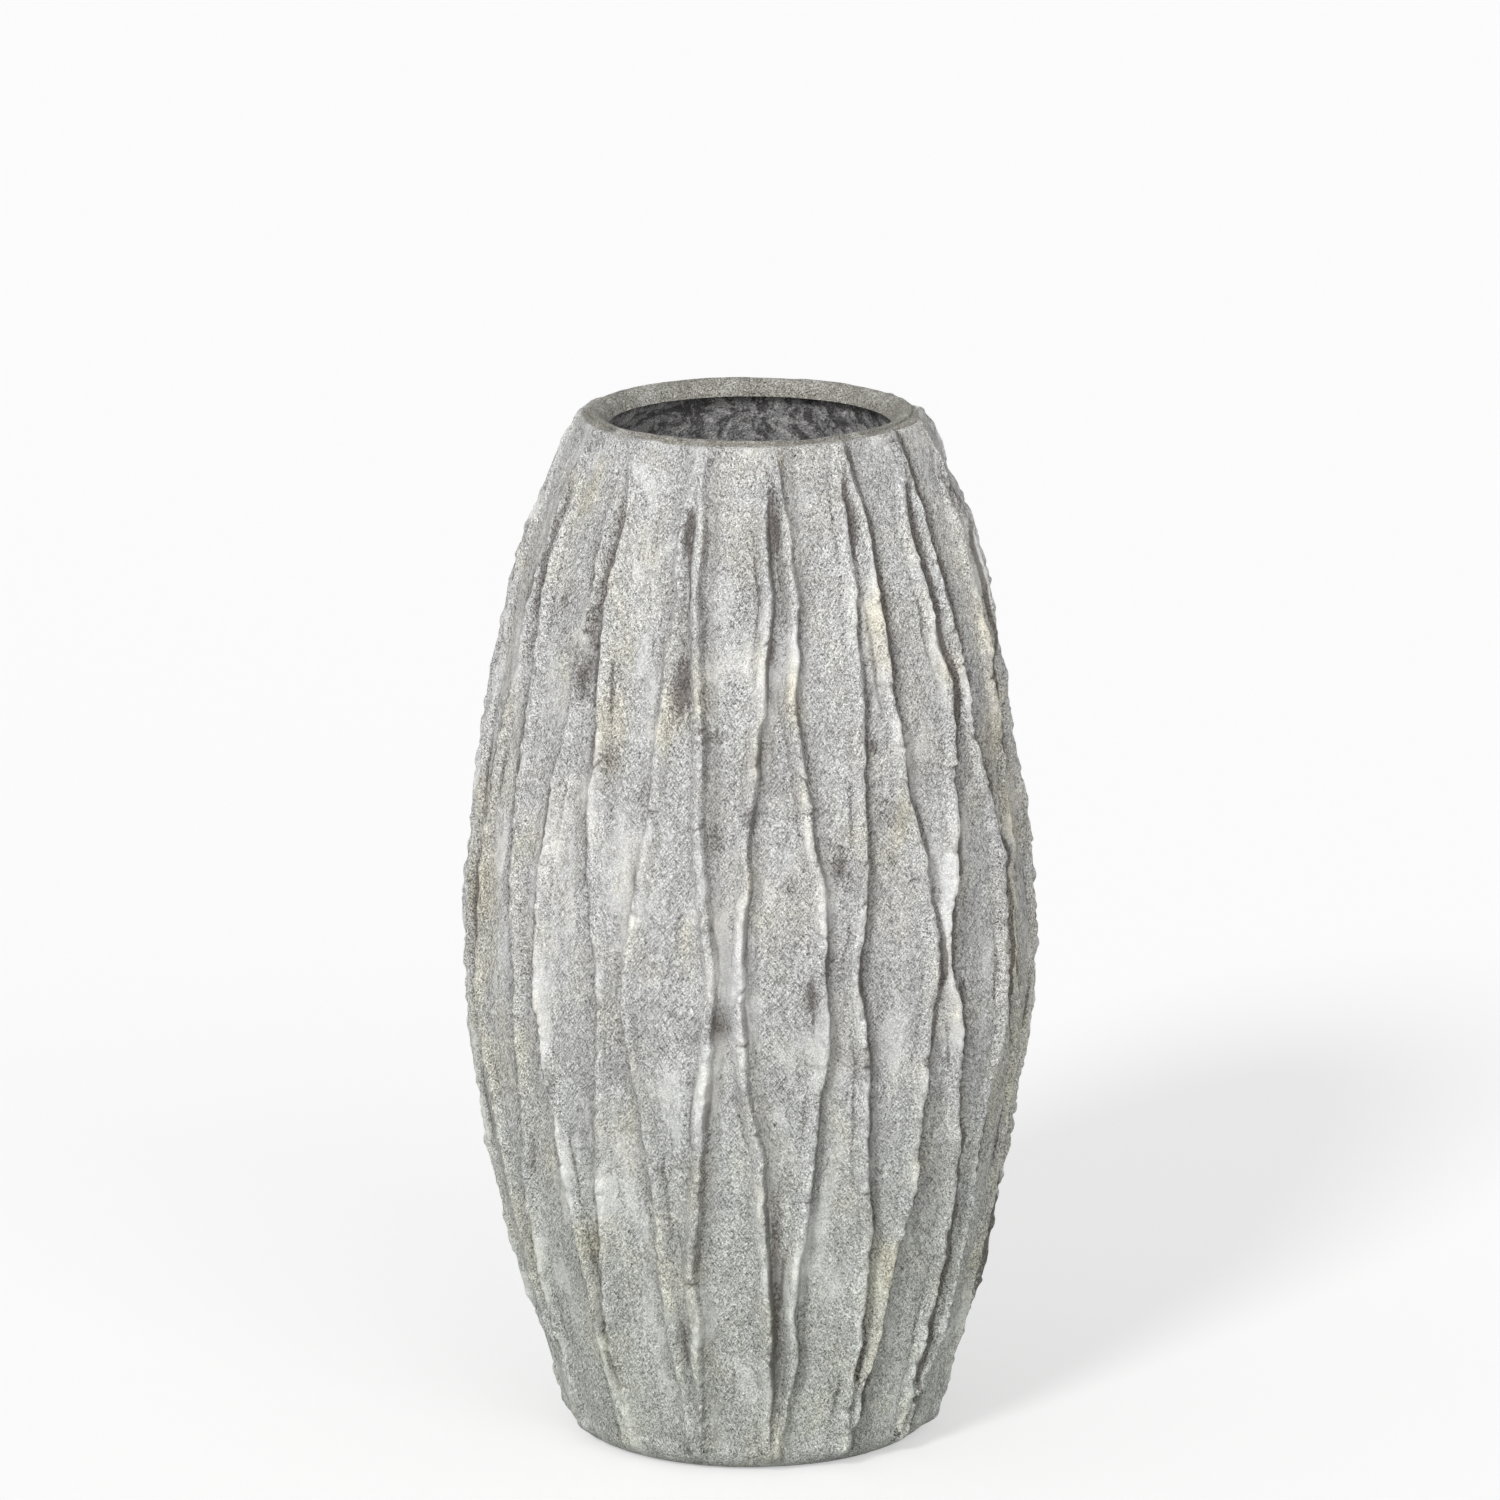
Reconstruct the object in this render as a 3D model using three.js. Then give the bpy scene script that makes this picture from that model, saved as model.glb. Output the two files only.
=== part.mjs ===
// Floor vase of rough grey stoneware, built from a slab, a barrel wall, a rim coil,
// a dark sealing coat and pairs of clay strips that close into long leaves.
// Millimetres, +Z up. The origin is the middle of the base, on the floor, and -Y is the front.
import * as THREE from 'three';

// Whole vase
const HEIGHT = 700;              // floor to the crest of the rim
const JOINT_GAP = 0.3;           // bed of slip between two luted pieces

// Barrel wall, without its strips
const BELLY_RADIUS = 184;        // outside, at the widest place
const BELLY_HEIGHT = 330;        // floor to the widest place
const SHOULDER_RADIUS = 116;     // outside, where the rim coil sits
const FOOT_RADIUS = 126;         // outside, where the wall stands on the slab
const UPPER_FULLNESS = 2.1;      // power of the curve from belly to shoulder
const LOWER_FULLNESS = 1.65;     // power of the curve from belly to foot
const WALL = 12;                 // thickness of the wall

// Base slab
const SLAB_HEIGHT = 20;          // thickness of the slab
const FOOT_ROUND = 22;           // how far the rounded edge draws in towards the floor

// Rim coil
const RIM_HEIGHT = 11;           // seat on the wall to the crest
const RIM_WIDTH = 22;            // outside to the sharp lower lip at the mouth
const RIM_TOP = 14;              // outside to the crest
const RIM_FALL = 2.5;            // crest down to the outer corner
const RIM_CORNER = 6;            // rounding of the outer corner
const RIM_EDGE = 4;              // rounding between crest and mouth

// Sealing coat inside
const COAT = 2;                  // thickness of the coat

// Clay strips, two to a leaf
const LEAF_COUNT = 15;
const LEAF_HALF_WIDTH = 28;      // leaf's middle line to the crest of a strip, at the widest
const LEAF_HEIGHT = 350;         // floor to the widest place of a leaf
const LEAF_POWER = 0.95;         // 1 gives straight sides between tip and widest place
const STRIP_WIDTH = 11;          // across the back of a strip
const STRIP_CREST = 7;           // across its rounded shoulders
const STRIP_HEIGHT = 8;          // wall to crest
const STRIP_SHOULDER = 5.6;      // wall to the rounded shoulders
const TIP_WIDTH = 6;             // across the back at either end
const TIP_HEIGHT = 2.5;          // wall to crest at either end
const TIP_RUN = 70;              // length over which an end thins
const STRIP_TOP_MARGIN = 3;      // bare wall between strips and rim coil
const STRIP_FOOT_MARGIN = 2;     // bare wall between strips and slab

// Facets
const FACETS = 60;               // sides of each round piece
const WALL_STEPS = 22;           // rings up the outside of the wall
const INNER_STEPS = 8;           // rings up the inside
const EDGE_STEPS = 4;            // steps of each rounded edge

// Each seen leaf: the angle of its middle line, and how its two strips stray from the even
// leaf curve. Angles are degrees to the right of the front. A stray is a pair: the share of
// the strip's run, counted from the foot, and the degrees that it lies to the right there.
const SEEN_LEAVES = [
  {
    angle: -63.8,
    left: [[0.15, -2], [0.28, 0.8], [0.44, -1], [0.5, 1.2], [0.62, -0.5], [0.78, 0.9]],
    right: [[0.25, -0.5], [0.32, 1.6], [0.42, 1.6], [0.55, 0], [0.68, -0.4], [0.75, 0.9], [0.87, -0.4]],
  },
  {
    angle: -39.8,
    left: [[0.17, 1.3], [0.3, 1.3], [0.44, 0.3], [0.57, -0.3], [0.69, 0.3], [0.74, 1.3], [0.82, 1]],
    right: [[0.2, 0], [0.43, 0.6], [0.58, -1.4], [0.63, -1], [0.67, -2.2], [0.72, 0], [0.81, -1.1]],
  },
  {
    angle: -16.1,
    left: [[0.05, -1.1], [0.22, 0], [0.33, 1], [0.44, -1.1], [0.54, -1], [0.63, 0.6], [0.74, 1.4]],
    right: [[0.12, 0.4], [0.18, -1.8], [0.3, -0.7], [0.52, 0], [0.57, -0.6], [0.67, -1], [0.74, 0.3]],
  },
  {
    angle: 6.8,
    left: [[0.15, 1.5], [0.19, 0.3], [0.32, 1.2], [0.38, -0.5], [0.49, -0.6], [0.66, -1], [0.9, 1]],
    right: [[0.06, 2.3], [0.18, -0.7], [0.44, 0.3], [0.5, -0.9], [0.56, 0.5], [0.76, -2.1], [0.88, 1.1]],
  },
  {
    angle: 29.7,
    left: [[0.04, -1.7], [0.08, 1.2], [0.19, 2.3], [0.31, 0.7], [0.41, 1.6], [0.49, 0], [0.58, 1.1],
      [0.87, -1.2], [0.91, 0.8]],
    right: [[0.12, 0.2], [0.27, 1], [0.42, 0], [0.55, 1.2], [0.64, 0], [0.69, -1.7], [0.81, -1.6],
      [0.95, 0.4]],
  },
  {
    angle: 52,
    left: [[0.09, 0], [0.16, 1.6], [0.31, 1.8], [0.36, 1], [0.4, 1.9], [0.53, -1.4], [0.61, 0.8],
      [0.79, 1.4], [0.83, -0.8], [0.94, -2.2]],
    right: [[0.1, 2], [0.21, 0.2], [0.32, -1], [0.4, 1.1], [0.45, -0.2], [0.6, 1.8], [0.71, -1.5],
      [0.88, -2.4]],
  },
  {
    angle: 76,
    left: [[0.22, 1.7], [0.27, 0], [0.33, 2.6], [0.41, 2], [0.47, -1.1], [0.68, 0.7], [0.74, -1.8],
      [0.94, -2]],
    right: [[0.2, 0.7], [0.35, -0.6], [0.48, 1.3], [0.6, -0.3], [0.75, -1]],
  },
];

// Finishes
const stoneware = new THREE.MeshStandardMaterial({ color: 0xc0c0bc, roughness: 0.95, metalness: 0 });
const paleStrip = new THREE.MeshStandardMaterial({ color: 0xccccc8, roughness: 0.95, metalness: 0 });
const rimClay = new THREE.MeshStandardMaterial({ color: 0xa09c93, roughness: 0.9, metalness: 0 });
const darkCoat = new THREE.MeshStandardMaterial({ color: 0x625f60, roughness: 0.6, metalness: 0 });

// Places that several pieces share
const wallFoot = SLAB_HEIGHT + JOINT_GAP;
const wallTop = HEIGHT - RIM_HEIGHT - JOINT_GAP;

const vase = new THREE.Group();

function addPiece(name, geometry, material) {
  const piece = new THREE.Mesh(geometry, material);
  piece.name = name;
  vase.add(piece);
}

// Outside radius of the bare wall: full at the belly, falling as a power of the distance from it.
function wallRadius(z) {
  const above = z > BELLY_HEIGHT;
  const reach = above ? wallTop - BELLY_HEIGHT : BELLY_HEIGHT - wallFoot;
  const end = above ? SHOULDER_RADIUS : FOOT_RADIUS;
  const power = above ? UPPER_FULLNESS : LOWER_FULLNESS;
  return BELLY_RADIUS - (BELLY_RADIUS - end) * (Math.abs(z - BELLY_HEIGHT) / reach) ** power;
}

// Heights from one level to another in equal steps, both ends included.
function levels(from, to, steps) {
  return Array.from({ length: steps + 1 }, (_, i) => from + ((to - from) * i) / steps);
}

// Turns a closed outline of (radius, height) points about the vertical axis.
// The outline runs up the outside and down the inside.
function turned(points) {
  return new THREE.LatheGeometry(points, FACETS).rotateX(Math.PI / 2);
}

const outerLevels = levels(wallFoot, wallTop, WALL_STEPS);
const innerLevels = levels(wallFoot, wallTop, INNER_STEPS);

function addBaseSlab() {
  const flat = FOOT_RADIUS - FOOT_ROUND;
  const outline = new THREE.Path();
  outline.moveTo(0, 0);
  outline.lineTo(flat, 0);
  outline.absellipse(flat, SLAB_HEIGHT, FOOT_ROUND, SLAB_HEIGHT, -Math.PI / 2, 0, false);
  outline.lineTo(0, SLAB_HEIGHT);
  addPiece('base_slab', turned(outline.getPoints(2 * EDGE_STEPS)), stoneware);
}

function addBodyWall() {
  const outside = outerLevels.map((z) => new THREE.Vector2(wallRadius(z), z));
  const inside = innerLevels.map((z) => new THREE.Vector2(wallRadius(z) - WALL, z));
  addPiece('body_wall', turned([...outside, ...inside.reverse(), outside[0]]), stoneware);
}

function addSealingCoat() {
  const depth = WALL + JOINT_GAP;
  const floor = wallFoot + COAT;
  const outside = innerLevels.map((z) => new THREE.Vector2(wallRadius(z) - depth, z));
  const innerHeights = [floor, ...innerLevels.slice(1)];
  const inside = innerHeights.map((z) => new THREE.Vector2(wallRadius(z) - depth - COAT, z));
  const under = new THREE.Vector2(0, wallFoot);
  const over = new THREE.Vector2(0, floor);
  addPiece('sealing_coat', turned([under, ...outside, ...inside.reverse(), over]), darkCoat);
}

// The coil's outline: flat seat, round outer corner, top rising to the crest, mouth face
// slanting in to a sharp lower lip. Each rounding is limited by the face that it rounds.
function addRimCoil() {
  const seat = HEIGHT - RIM_HEIGHT;
  const cornerHeight = HEIGHT - RIM_FALL;
  const corner = Math.min(RIM_CORNER, RIM_HEIGHT - RIM_FALL, RIM_TOP);
  const crest = SHOULDER_RADIUS - RIM_TOP;
  const lip = SHOULDER_RADIUS - RIM_WIDTH;
  const edge = Math.min(RIM_EDGE, RIM_HEIGHT, crest - lip);
  const outline = new THREE.Path();
  outline.moveTo(lip, seat);
  outline.lineTo(SHOULDER_RADIUS, seat);
  outline.lineTo(SHOULDER_RADIUS, cornerHeight - corner);
  outline.quadraticCurveTo(SHOULDER_RADIUS, cornerHeight, SHOULDER_RADIUS - corner, cornerHeight);
  outline.lineTo(crest, HEIGHT);
  outline.quadraticCurveTo(crest - edge, HEIGHT, crest - edge, HEIGHT - edge);
  outline.closePath();
  addPiece('rim_coil', turned(outline.getPoints(EDGE_STEPS)), rimClay);
}

// Outside radius of the wall as its flat bands leave it, between two of its levels.
function seatRadius(z) {
  const step = (wallTop - wallFoot) / WALL_STEPS;
  const band = Math.min(Math.floor((z - wallFoot) / step), WALL_STEPS - 1);
  const [low, high] = [outerLevels[band], outerLevels[band + 1]];
  return THREE.MathUtils.mapLinear(z, low, high, wallRadius(low), wallRadius(high));
}

// Straight lines between the strays of a strip, which are none at its two ends.
function strayAt(strays, share) {
  const points = [[0, 0], ...strays, [1, 0]];
  const next = Math.max(1, points.findIndex((point) => point[0] >= share));
  const [from, to] = [points[next - 1], points[next]];
  return THREE.MathUtils.mapLinear(share, from[0], to[0], from[1], to[1]);
}

// Half the width of a leaf at a height, as an angle: widest at one level, closing at both ends.
function leafHalfAngle(z, foot, top) {
  const fromTip = z > LEAF_HEIGHT ? (top - z) / (top - LEAF_HEIGHT) : (z - foot) / (LEAF_HEIGHT - foot);
  return (LEAF_HALF_WIDTH * Math.max(fromTip, 0) ** LEAF_POWER) / seatRadius(z);
}

// Section of a strip as pairs of turn and radius: its back on the wall, two shoulders, a crest.
// thick runs from 0 at a tip to 1 where the strip has its full size.
function stripSection(seat, thick) {
  const half = THREE.MathUtils.lerp(TIP_WIDTH, STRIP_WIDTH, thick) / 2 / seat;
  const crest = THREE.MathUtils.lerp(TIP_HEIGHT, STRIP_HEIGHT, thick);
  const shoulder = (half * STRIP_CREST) / STRIP_WIDTH;
  const shoulderHeight = (crest * STRIP_SHOULDER) / STRIP_HEIGHT;
  const bed = (seat + JOINT_GAP) / Math.cos(half);
  return [
    [half, bed],
    [-half, bed],
    [-shoulder, bed + shoulderHeight],
    [0, bed + crest],
    [shoulder, bed + shoulderHeight],
  ];
}

// One strip of a leaf. side is -1 for the left strip and 1 for the right one, and room is the
// angle from the leaf's middle line to the line halfway to its neighbour on that side.
// A strip goes past neither of these two lines.
function stripGeometry(middle, side, room, strays) {
  const foot = wallFoot + STRIP_FOOT_MARGIN;
  const top = wallTop - STRIP_TOP_MARGIN;
  const between = outerLevels.filter((z) => z > foot + JOINT_GAP && z < top - JOINT_GAP);
  const heights = [foot, ...between, top];
  const positions = [];
  for (const z of heights) {
    const seat = seatRadius(z);
    const section = stripSection(seat, Math.min(1, (z - foot) / TIP_RUN, (top - z) / TIP_RUN));
    const clear = section[0][0] + JOINT_GAP / 2 / seat;
    const stray = THREE.MathUtils.degToRad(strayAt(strays, (z - foot) / (top - foot)));
    const away = THREE.MathUtils.clamp(leafHalfAngle(z, foot, top) + side * stray, clear, room - clear);
    for (const [turn, radius] of section) {
      const angle = middle + side * away + turn;
      positions.push(radius * Math.sin(angle), -radius * Math.cos(angle), z);
    }
  }
  return lofted(positions, heights.length);
}

// Joins rings of equal point counts, listed from the bottom up, into one closed body.
function lofted(positions, rings) {
  const count = positions.length / 3 / rings;
  const last = (rings - 1) * count;
  const faces = [];
  for (let ring = 0; ring < rings - 1; ring += 1) {
    for (let i = 0; i < count; i += 1) {
      const a = ring * count + i;
      const b = ring * count + ((i + 1) % count);
      faces.push(a, b, b + count, a, b + count, a + count);
    }
  }
  for (let i = 1; i < count - 1; i += 1) {
    faces.push(0, i + 1, i, last, last + i, last + i + 1);
  }
  const geometry = new THREE.BufferGeometry();
  geometry.setAttribute('position', new THREE.Float32BufferAttribute(positions, 3));
  geometry.setIndex(faces);
  geometry.computeVertexNormals();
  return geometry;
}

// Mirror image of a strip's strays, for a leaf laid the other way round.
function mirrored(strays) {
  return strays.map(([share, degrees]) => [share, -degrees]);
}

// The seen leaves, then the others at even angles over the back. A leaf of the back strays
// like the mirror image of a seen one.
function allLeaves() {
  const seen = SEEN_LEAVES.length;
  const hidden = LEAF_COUNT - seen;
  const backStart = SEEN_LEAVES[seen - 1].angle;
  const backEnd = SEEN_LEAVES[0].angle + 360;
  const leaves = [...SEEN_LEAVES];
  for (let i = 1; i <= hidden; i += 1) {
    const like = SEEN_LEAVES[(3 * i) % seen];
    leaves.push({
      angle: backStart + ((backEnd - backStart) * i) / (hidden + 1),
      left: mirrored(like.right),
      right: mirrored(like.left),
    });
  }
  return leaves;
}

function addLeafStrips() {
  const leaves = allLeaves();
  leaves.forEach((leaf, i) => {
    const before = i > 0 ? leaves[i - 1].angle : leaves[leaves.length - 1].angle - 360;
    const after = i < leaves.length - 1 ? leaves[i + 1].angle : leaves[0].angle + 360;
    const middle = THREE.MathUtils.degToRad(leaf.angle);
    const leftRoom = THREE.MathUtils.degToRad(leaf.angle - before) / 2;
    const rightRoom = THREE.MathUtils.degToRad(after - leaf.angle) / 2;
    const name = `leaf_${String(i + 1).padStart(2, '0')}`;
    addPiece(`${name}_left_strip`, stripGeometry(middle, -1, leftRoom, leaf.left), paleStrip);
    addPiece(`${name}_right_strip`, stripGeometry(middle, 1, rightRoom, leaf.right), paleStrip);
  });
}

addBaseSlab();
addBodyWall();
addSealingCoat();
addRimCoil();
addLeafStrips();

export default vase;
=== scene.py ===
"""Looks of a hand-built floor vase: a barrel of rough grey stoneware under long clay leaves.

The clay's outside is one height field over the bare barrel, read at a turn and a height. The wall,
the base and every strip take their outside from it, so that they meet without a seam.
Metres, +Z up, -Y to the front. A turn is the angle about the vase's axis, 0 at the front and
growing to the right.
"""
import logging
import math
from collections.abc import Iterator
from dataclasses import dataclass, field
from enum import Enum

import bpy
import numpy as np
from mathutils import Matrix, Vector


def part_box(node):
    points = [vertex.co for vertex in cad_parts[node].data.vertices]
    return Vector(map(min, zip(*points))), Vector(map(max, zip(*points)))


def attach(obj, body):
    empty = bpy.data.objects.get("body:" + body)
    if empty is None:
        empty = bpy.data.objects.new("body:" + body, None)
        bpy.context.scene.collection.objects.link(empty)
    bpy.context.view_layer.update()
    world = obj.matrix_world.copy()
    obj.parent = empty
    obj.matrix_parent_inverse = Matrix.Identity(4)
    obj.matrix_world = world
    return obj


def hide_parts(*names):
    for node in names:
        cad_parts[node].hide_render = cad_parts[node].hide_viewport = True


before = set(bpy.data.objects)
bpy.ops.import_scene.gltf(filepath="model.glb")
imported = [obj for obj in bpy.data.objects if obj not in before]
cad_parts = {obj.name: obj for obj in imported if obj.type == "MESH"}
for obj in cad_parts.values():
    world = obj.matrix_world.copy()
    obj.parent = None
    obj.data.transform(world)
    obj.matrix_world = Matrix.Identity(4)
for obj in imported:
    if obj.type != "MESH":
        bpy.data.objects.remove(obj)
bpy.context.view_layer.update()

LOG = logging.getLogger("floor_vase")
MM = 0.001
BODY = "root"
LEAF_COUNT = 15
BELLY = 184 * MM           # barrel radius at which the width of a pattern is measured
PATTERN_START = -60 * MM   # height at which every pattern starts
PATTERN_END = 780 * MM
STEEP_TURN = math.radians(-17)   # strips left of it fall steeply to the left, the others to the right

Array = np.ndarray
Socket = bpy.types.NodeSocket
Pair = tuple[float, float]
Place = tuple[float, float, float]
Colour = tuple[float, float, float]


class Side(Enum):
    """The two strips of a leaf."""

    LEFT = "left"
    RIGHT = "right"


class Slot(Enum):
    """Names of the material slots."""

    STONEWARE = "stoneware"
    STRIP_CLAY = "strip_clay"
    RIM_CLAY = "rim_clay"
    SEALING_COAT = "sealing_coat"


def ease(share: Array) -> Array:
    """Soft step from 0 to 1: 6t^5 - 15t^4 + 10t^3 of a share held between 0 and 1."""
    t = np.clip(share, 0.0, 1.0)
    return t * t * t * (t * (6 * t - 15) + 10)


def ramp(values: Array | float, ends: Pair) -> Array:
    """Soft step of values from 0 at the first end to 1 at the second, which may be the lower one."""
    return ease((values - ends[0]) / (ends[1] - ends[0]))


def apart(turns: Array, others: Array) -> Array:
    """Signed angle from the other turns to these turns, the short way round."""
    return np.mod(turns - others + math.pi, math.tau) - math.pi


def uneven(turns: Array, heights: Array, across: float, along: float, seed: int) -> Array:
    """Smooth random field from -1 to 1 that closes on itself around the barrel.

    Seeded random values stand on a lattice of turns and heights. Between its points they blend
    by the soft step in both directions.

    Args:
        turns: Angles about the axis, of any shape.
        heights: Heights over the floor, of a shape that fits the turns.
        across: Width of a lattice cell, measured on the belly.
        along: Height of a lattice cell.
        seed: Seed of the lattice.

    Returns:
        The field at each point.
    """
    count = max(3, round(math.tau * BELLY / across))
    rows = int((PATTERN_END - PATTERN_START) / along) + 3
    lattice = np.random.default_rng(seed).uniform(-1.0, 1.0, (rows, count))
    u = np.mod(turns / math.tau, 1.0) * count
    v = (heights - PATTERN_START) / along
    column = np.floor(u).astype(int)
    row = np.clip(np.floor(v).astype(int), 0, rows - 2)
    sideways = ease(u - column)
    upwards = ease(v - row)
    column, after = column % count, (column + 1) % count
    low = lattice[row, column] * (1 - sideways) + lattice[row, after] * sideways
    high = lattice[row + 1, column] * (1 - sideways) + lattice[row + 1, after] * sideways
    return low * (1 - upwards) + high * upwards


def smooth_curve(at: Array, stations: Array, values: Array) -> Array:
    """Cubic curve through stations, whose slope at each is that of the parabola around it.

    Args:
        at: Where the curve is read, held between the end stations.
        stations: Rising positions.
        values: Value at each station.

    Returns:
        The curve's value at each position.
    """
    slopes = np.gradient(values, stations)
    low = np.clip(np.searchsorted(stations, at) - 1, 0, len(stations) - 2)
    span = stations[low + 1] - stations[low]
    t = np.clip((at - stations[low]) / span, 0.0, 1.0)
    step = t * t * (3 - 2 * t)
    start = t * (1 - t) ** 2 * span * slopes[low]
    end = t * t * (1 - t) * span * slopes[low + 1]
    return values[low] * (1 - step) + values[low + 1] * step + start - end


def on_barrel(turns: Array, radii: Array, heights: Array) -> Array:
    """Points from cylinder coordinates: x = r sin(turn), y = -r cos(turn), z = height."""
    turns, radii, heights = np.broadcast_arrays(turns, radii, heights)
    return np.stack((radii * np.sin(turns), -radii * np.cos(turns), heights), axis=-1)


def node_points(node: str) -> Array:
    """Vertices of a CAD node as an array of points."""
    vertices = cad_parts[node].data.vertices
    flat = np.empty(len(vertices) * 3, np.float32)
    vertices.foreach_get("co", flat)
    return flat.reshape(-1, 3).astype(float)


def closed_skin(name: str, rings: Array, marks: Array | None, looped: bool) -> bpy.types.Object:
    """Mesh over a stack of closed rings, with its faces pointing out.

    Quads join each ring to the next. A looped skin also joins the last ring to the first, as on a
    torus. Otherwise a fan of triangles closes either end at the middle of its ring.

    Args:
        name: Name of the object and its mesh.
        rings: Points of shape (rings, points in a ring, 3).
        marks: Clay marks of shape (rings, points in a ring, 4), or None.
        looped: Whether the last ring joins the first.

    Returns:
        The new object, linked to the scene.
    """
    count, around = rings.shape[:2]
    points = rings.reshape(-1, 3)
    here = np.arange(count * around).reshape(count, around)
    if not looped:
        here = here[:-1]
    beside = np.roll(here, -1, axis=1)
    above = (here + around) % (count * around)
    above_beside = (beside + around) % (count * around)
    quads = np.stack((here, beside, above_beside, above), axis=-1).reshape(-1, 4)
    fans = np.empty((0, 3), int)
    if not looped:
        points = np.vstack((points, rings[0].mean(0), rings[-1].mean(0)))
        first = np.arange(around)
        last = first + (count - 1) * around
        foot_pole, top_pole = np.full((2, around), count * around) + np.array([[0], [1]])
        fans = np.vstack((
            np.stack((np.roll(first, -1), first, foot_pole), axis=-1),
            np.stack((last, np.roll(last, -1), top_pole), axis=-1),
        ))
    corners = np.vstack((quads[:, (0, 1, 2)], quads[:, (0, 2, 3)], fans))
    a, b, c = (points[corners[:, i]] for i in range(3))
    if np.einsum("ij,ij->", a, np.cross(b, c)) < 0:
        quads, fans = quads[:, ::-1], fans[:, ::-1]
    mesh = bpy.data.meshes.new(name)
    mesh.from_pydata(points.tolist(), [], quads.tolist() + fans.tolist())
    if marks is not None:
        flat = marks.reshape(-1, 4)
        if not looped:
            flat = np.vstack((flat, marks[0].mean(0), marks[-1].mean(0)))
        layer = mesh.attributes.new("marks", "FLOAT_COLOR", "POINT")
        layer.data.foreach_set("color", flat.astype(np.float32).ravel())
    mesh.shade_smooth()
    piece = bpy.data.objects.new(name, mesh)
    bpy.context.scene.collection.objects.link(piece)
    return piece


def settle(piece: bpy.types.Object, node: str, slot: Slot, finish: bpy.types.Material) -> None:
    """Dresses a piece, puts it in the place of its CAD node and reports it.

    Args:
        piece: The piece.
        node: Name of the CAD node that it stands for.
        slot: Slot of its finish; not used.
        finish: Its material.
    """
    piece.data.materials.append(finish)
    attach(piece, BODY)
    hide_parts(node)
    piece.data.calc_loop_triangles()
    triangles = len(piece.data.loop_triangles)
    LOG.info("%s stands for %s, %d triangles", piece.name, node, triangles)


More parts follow.
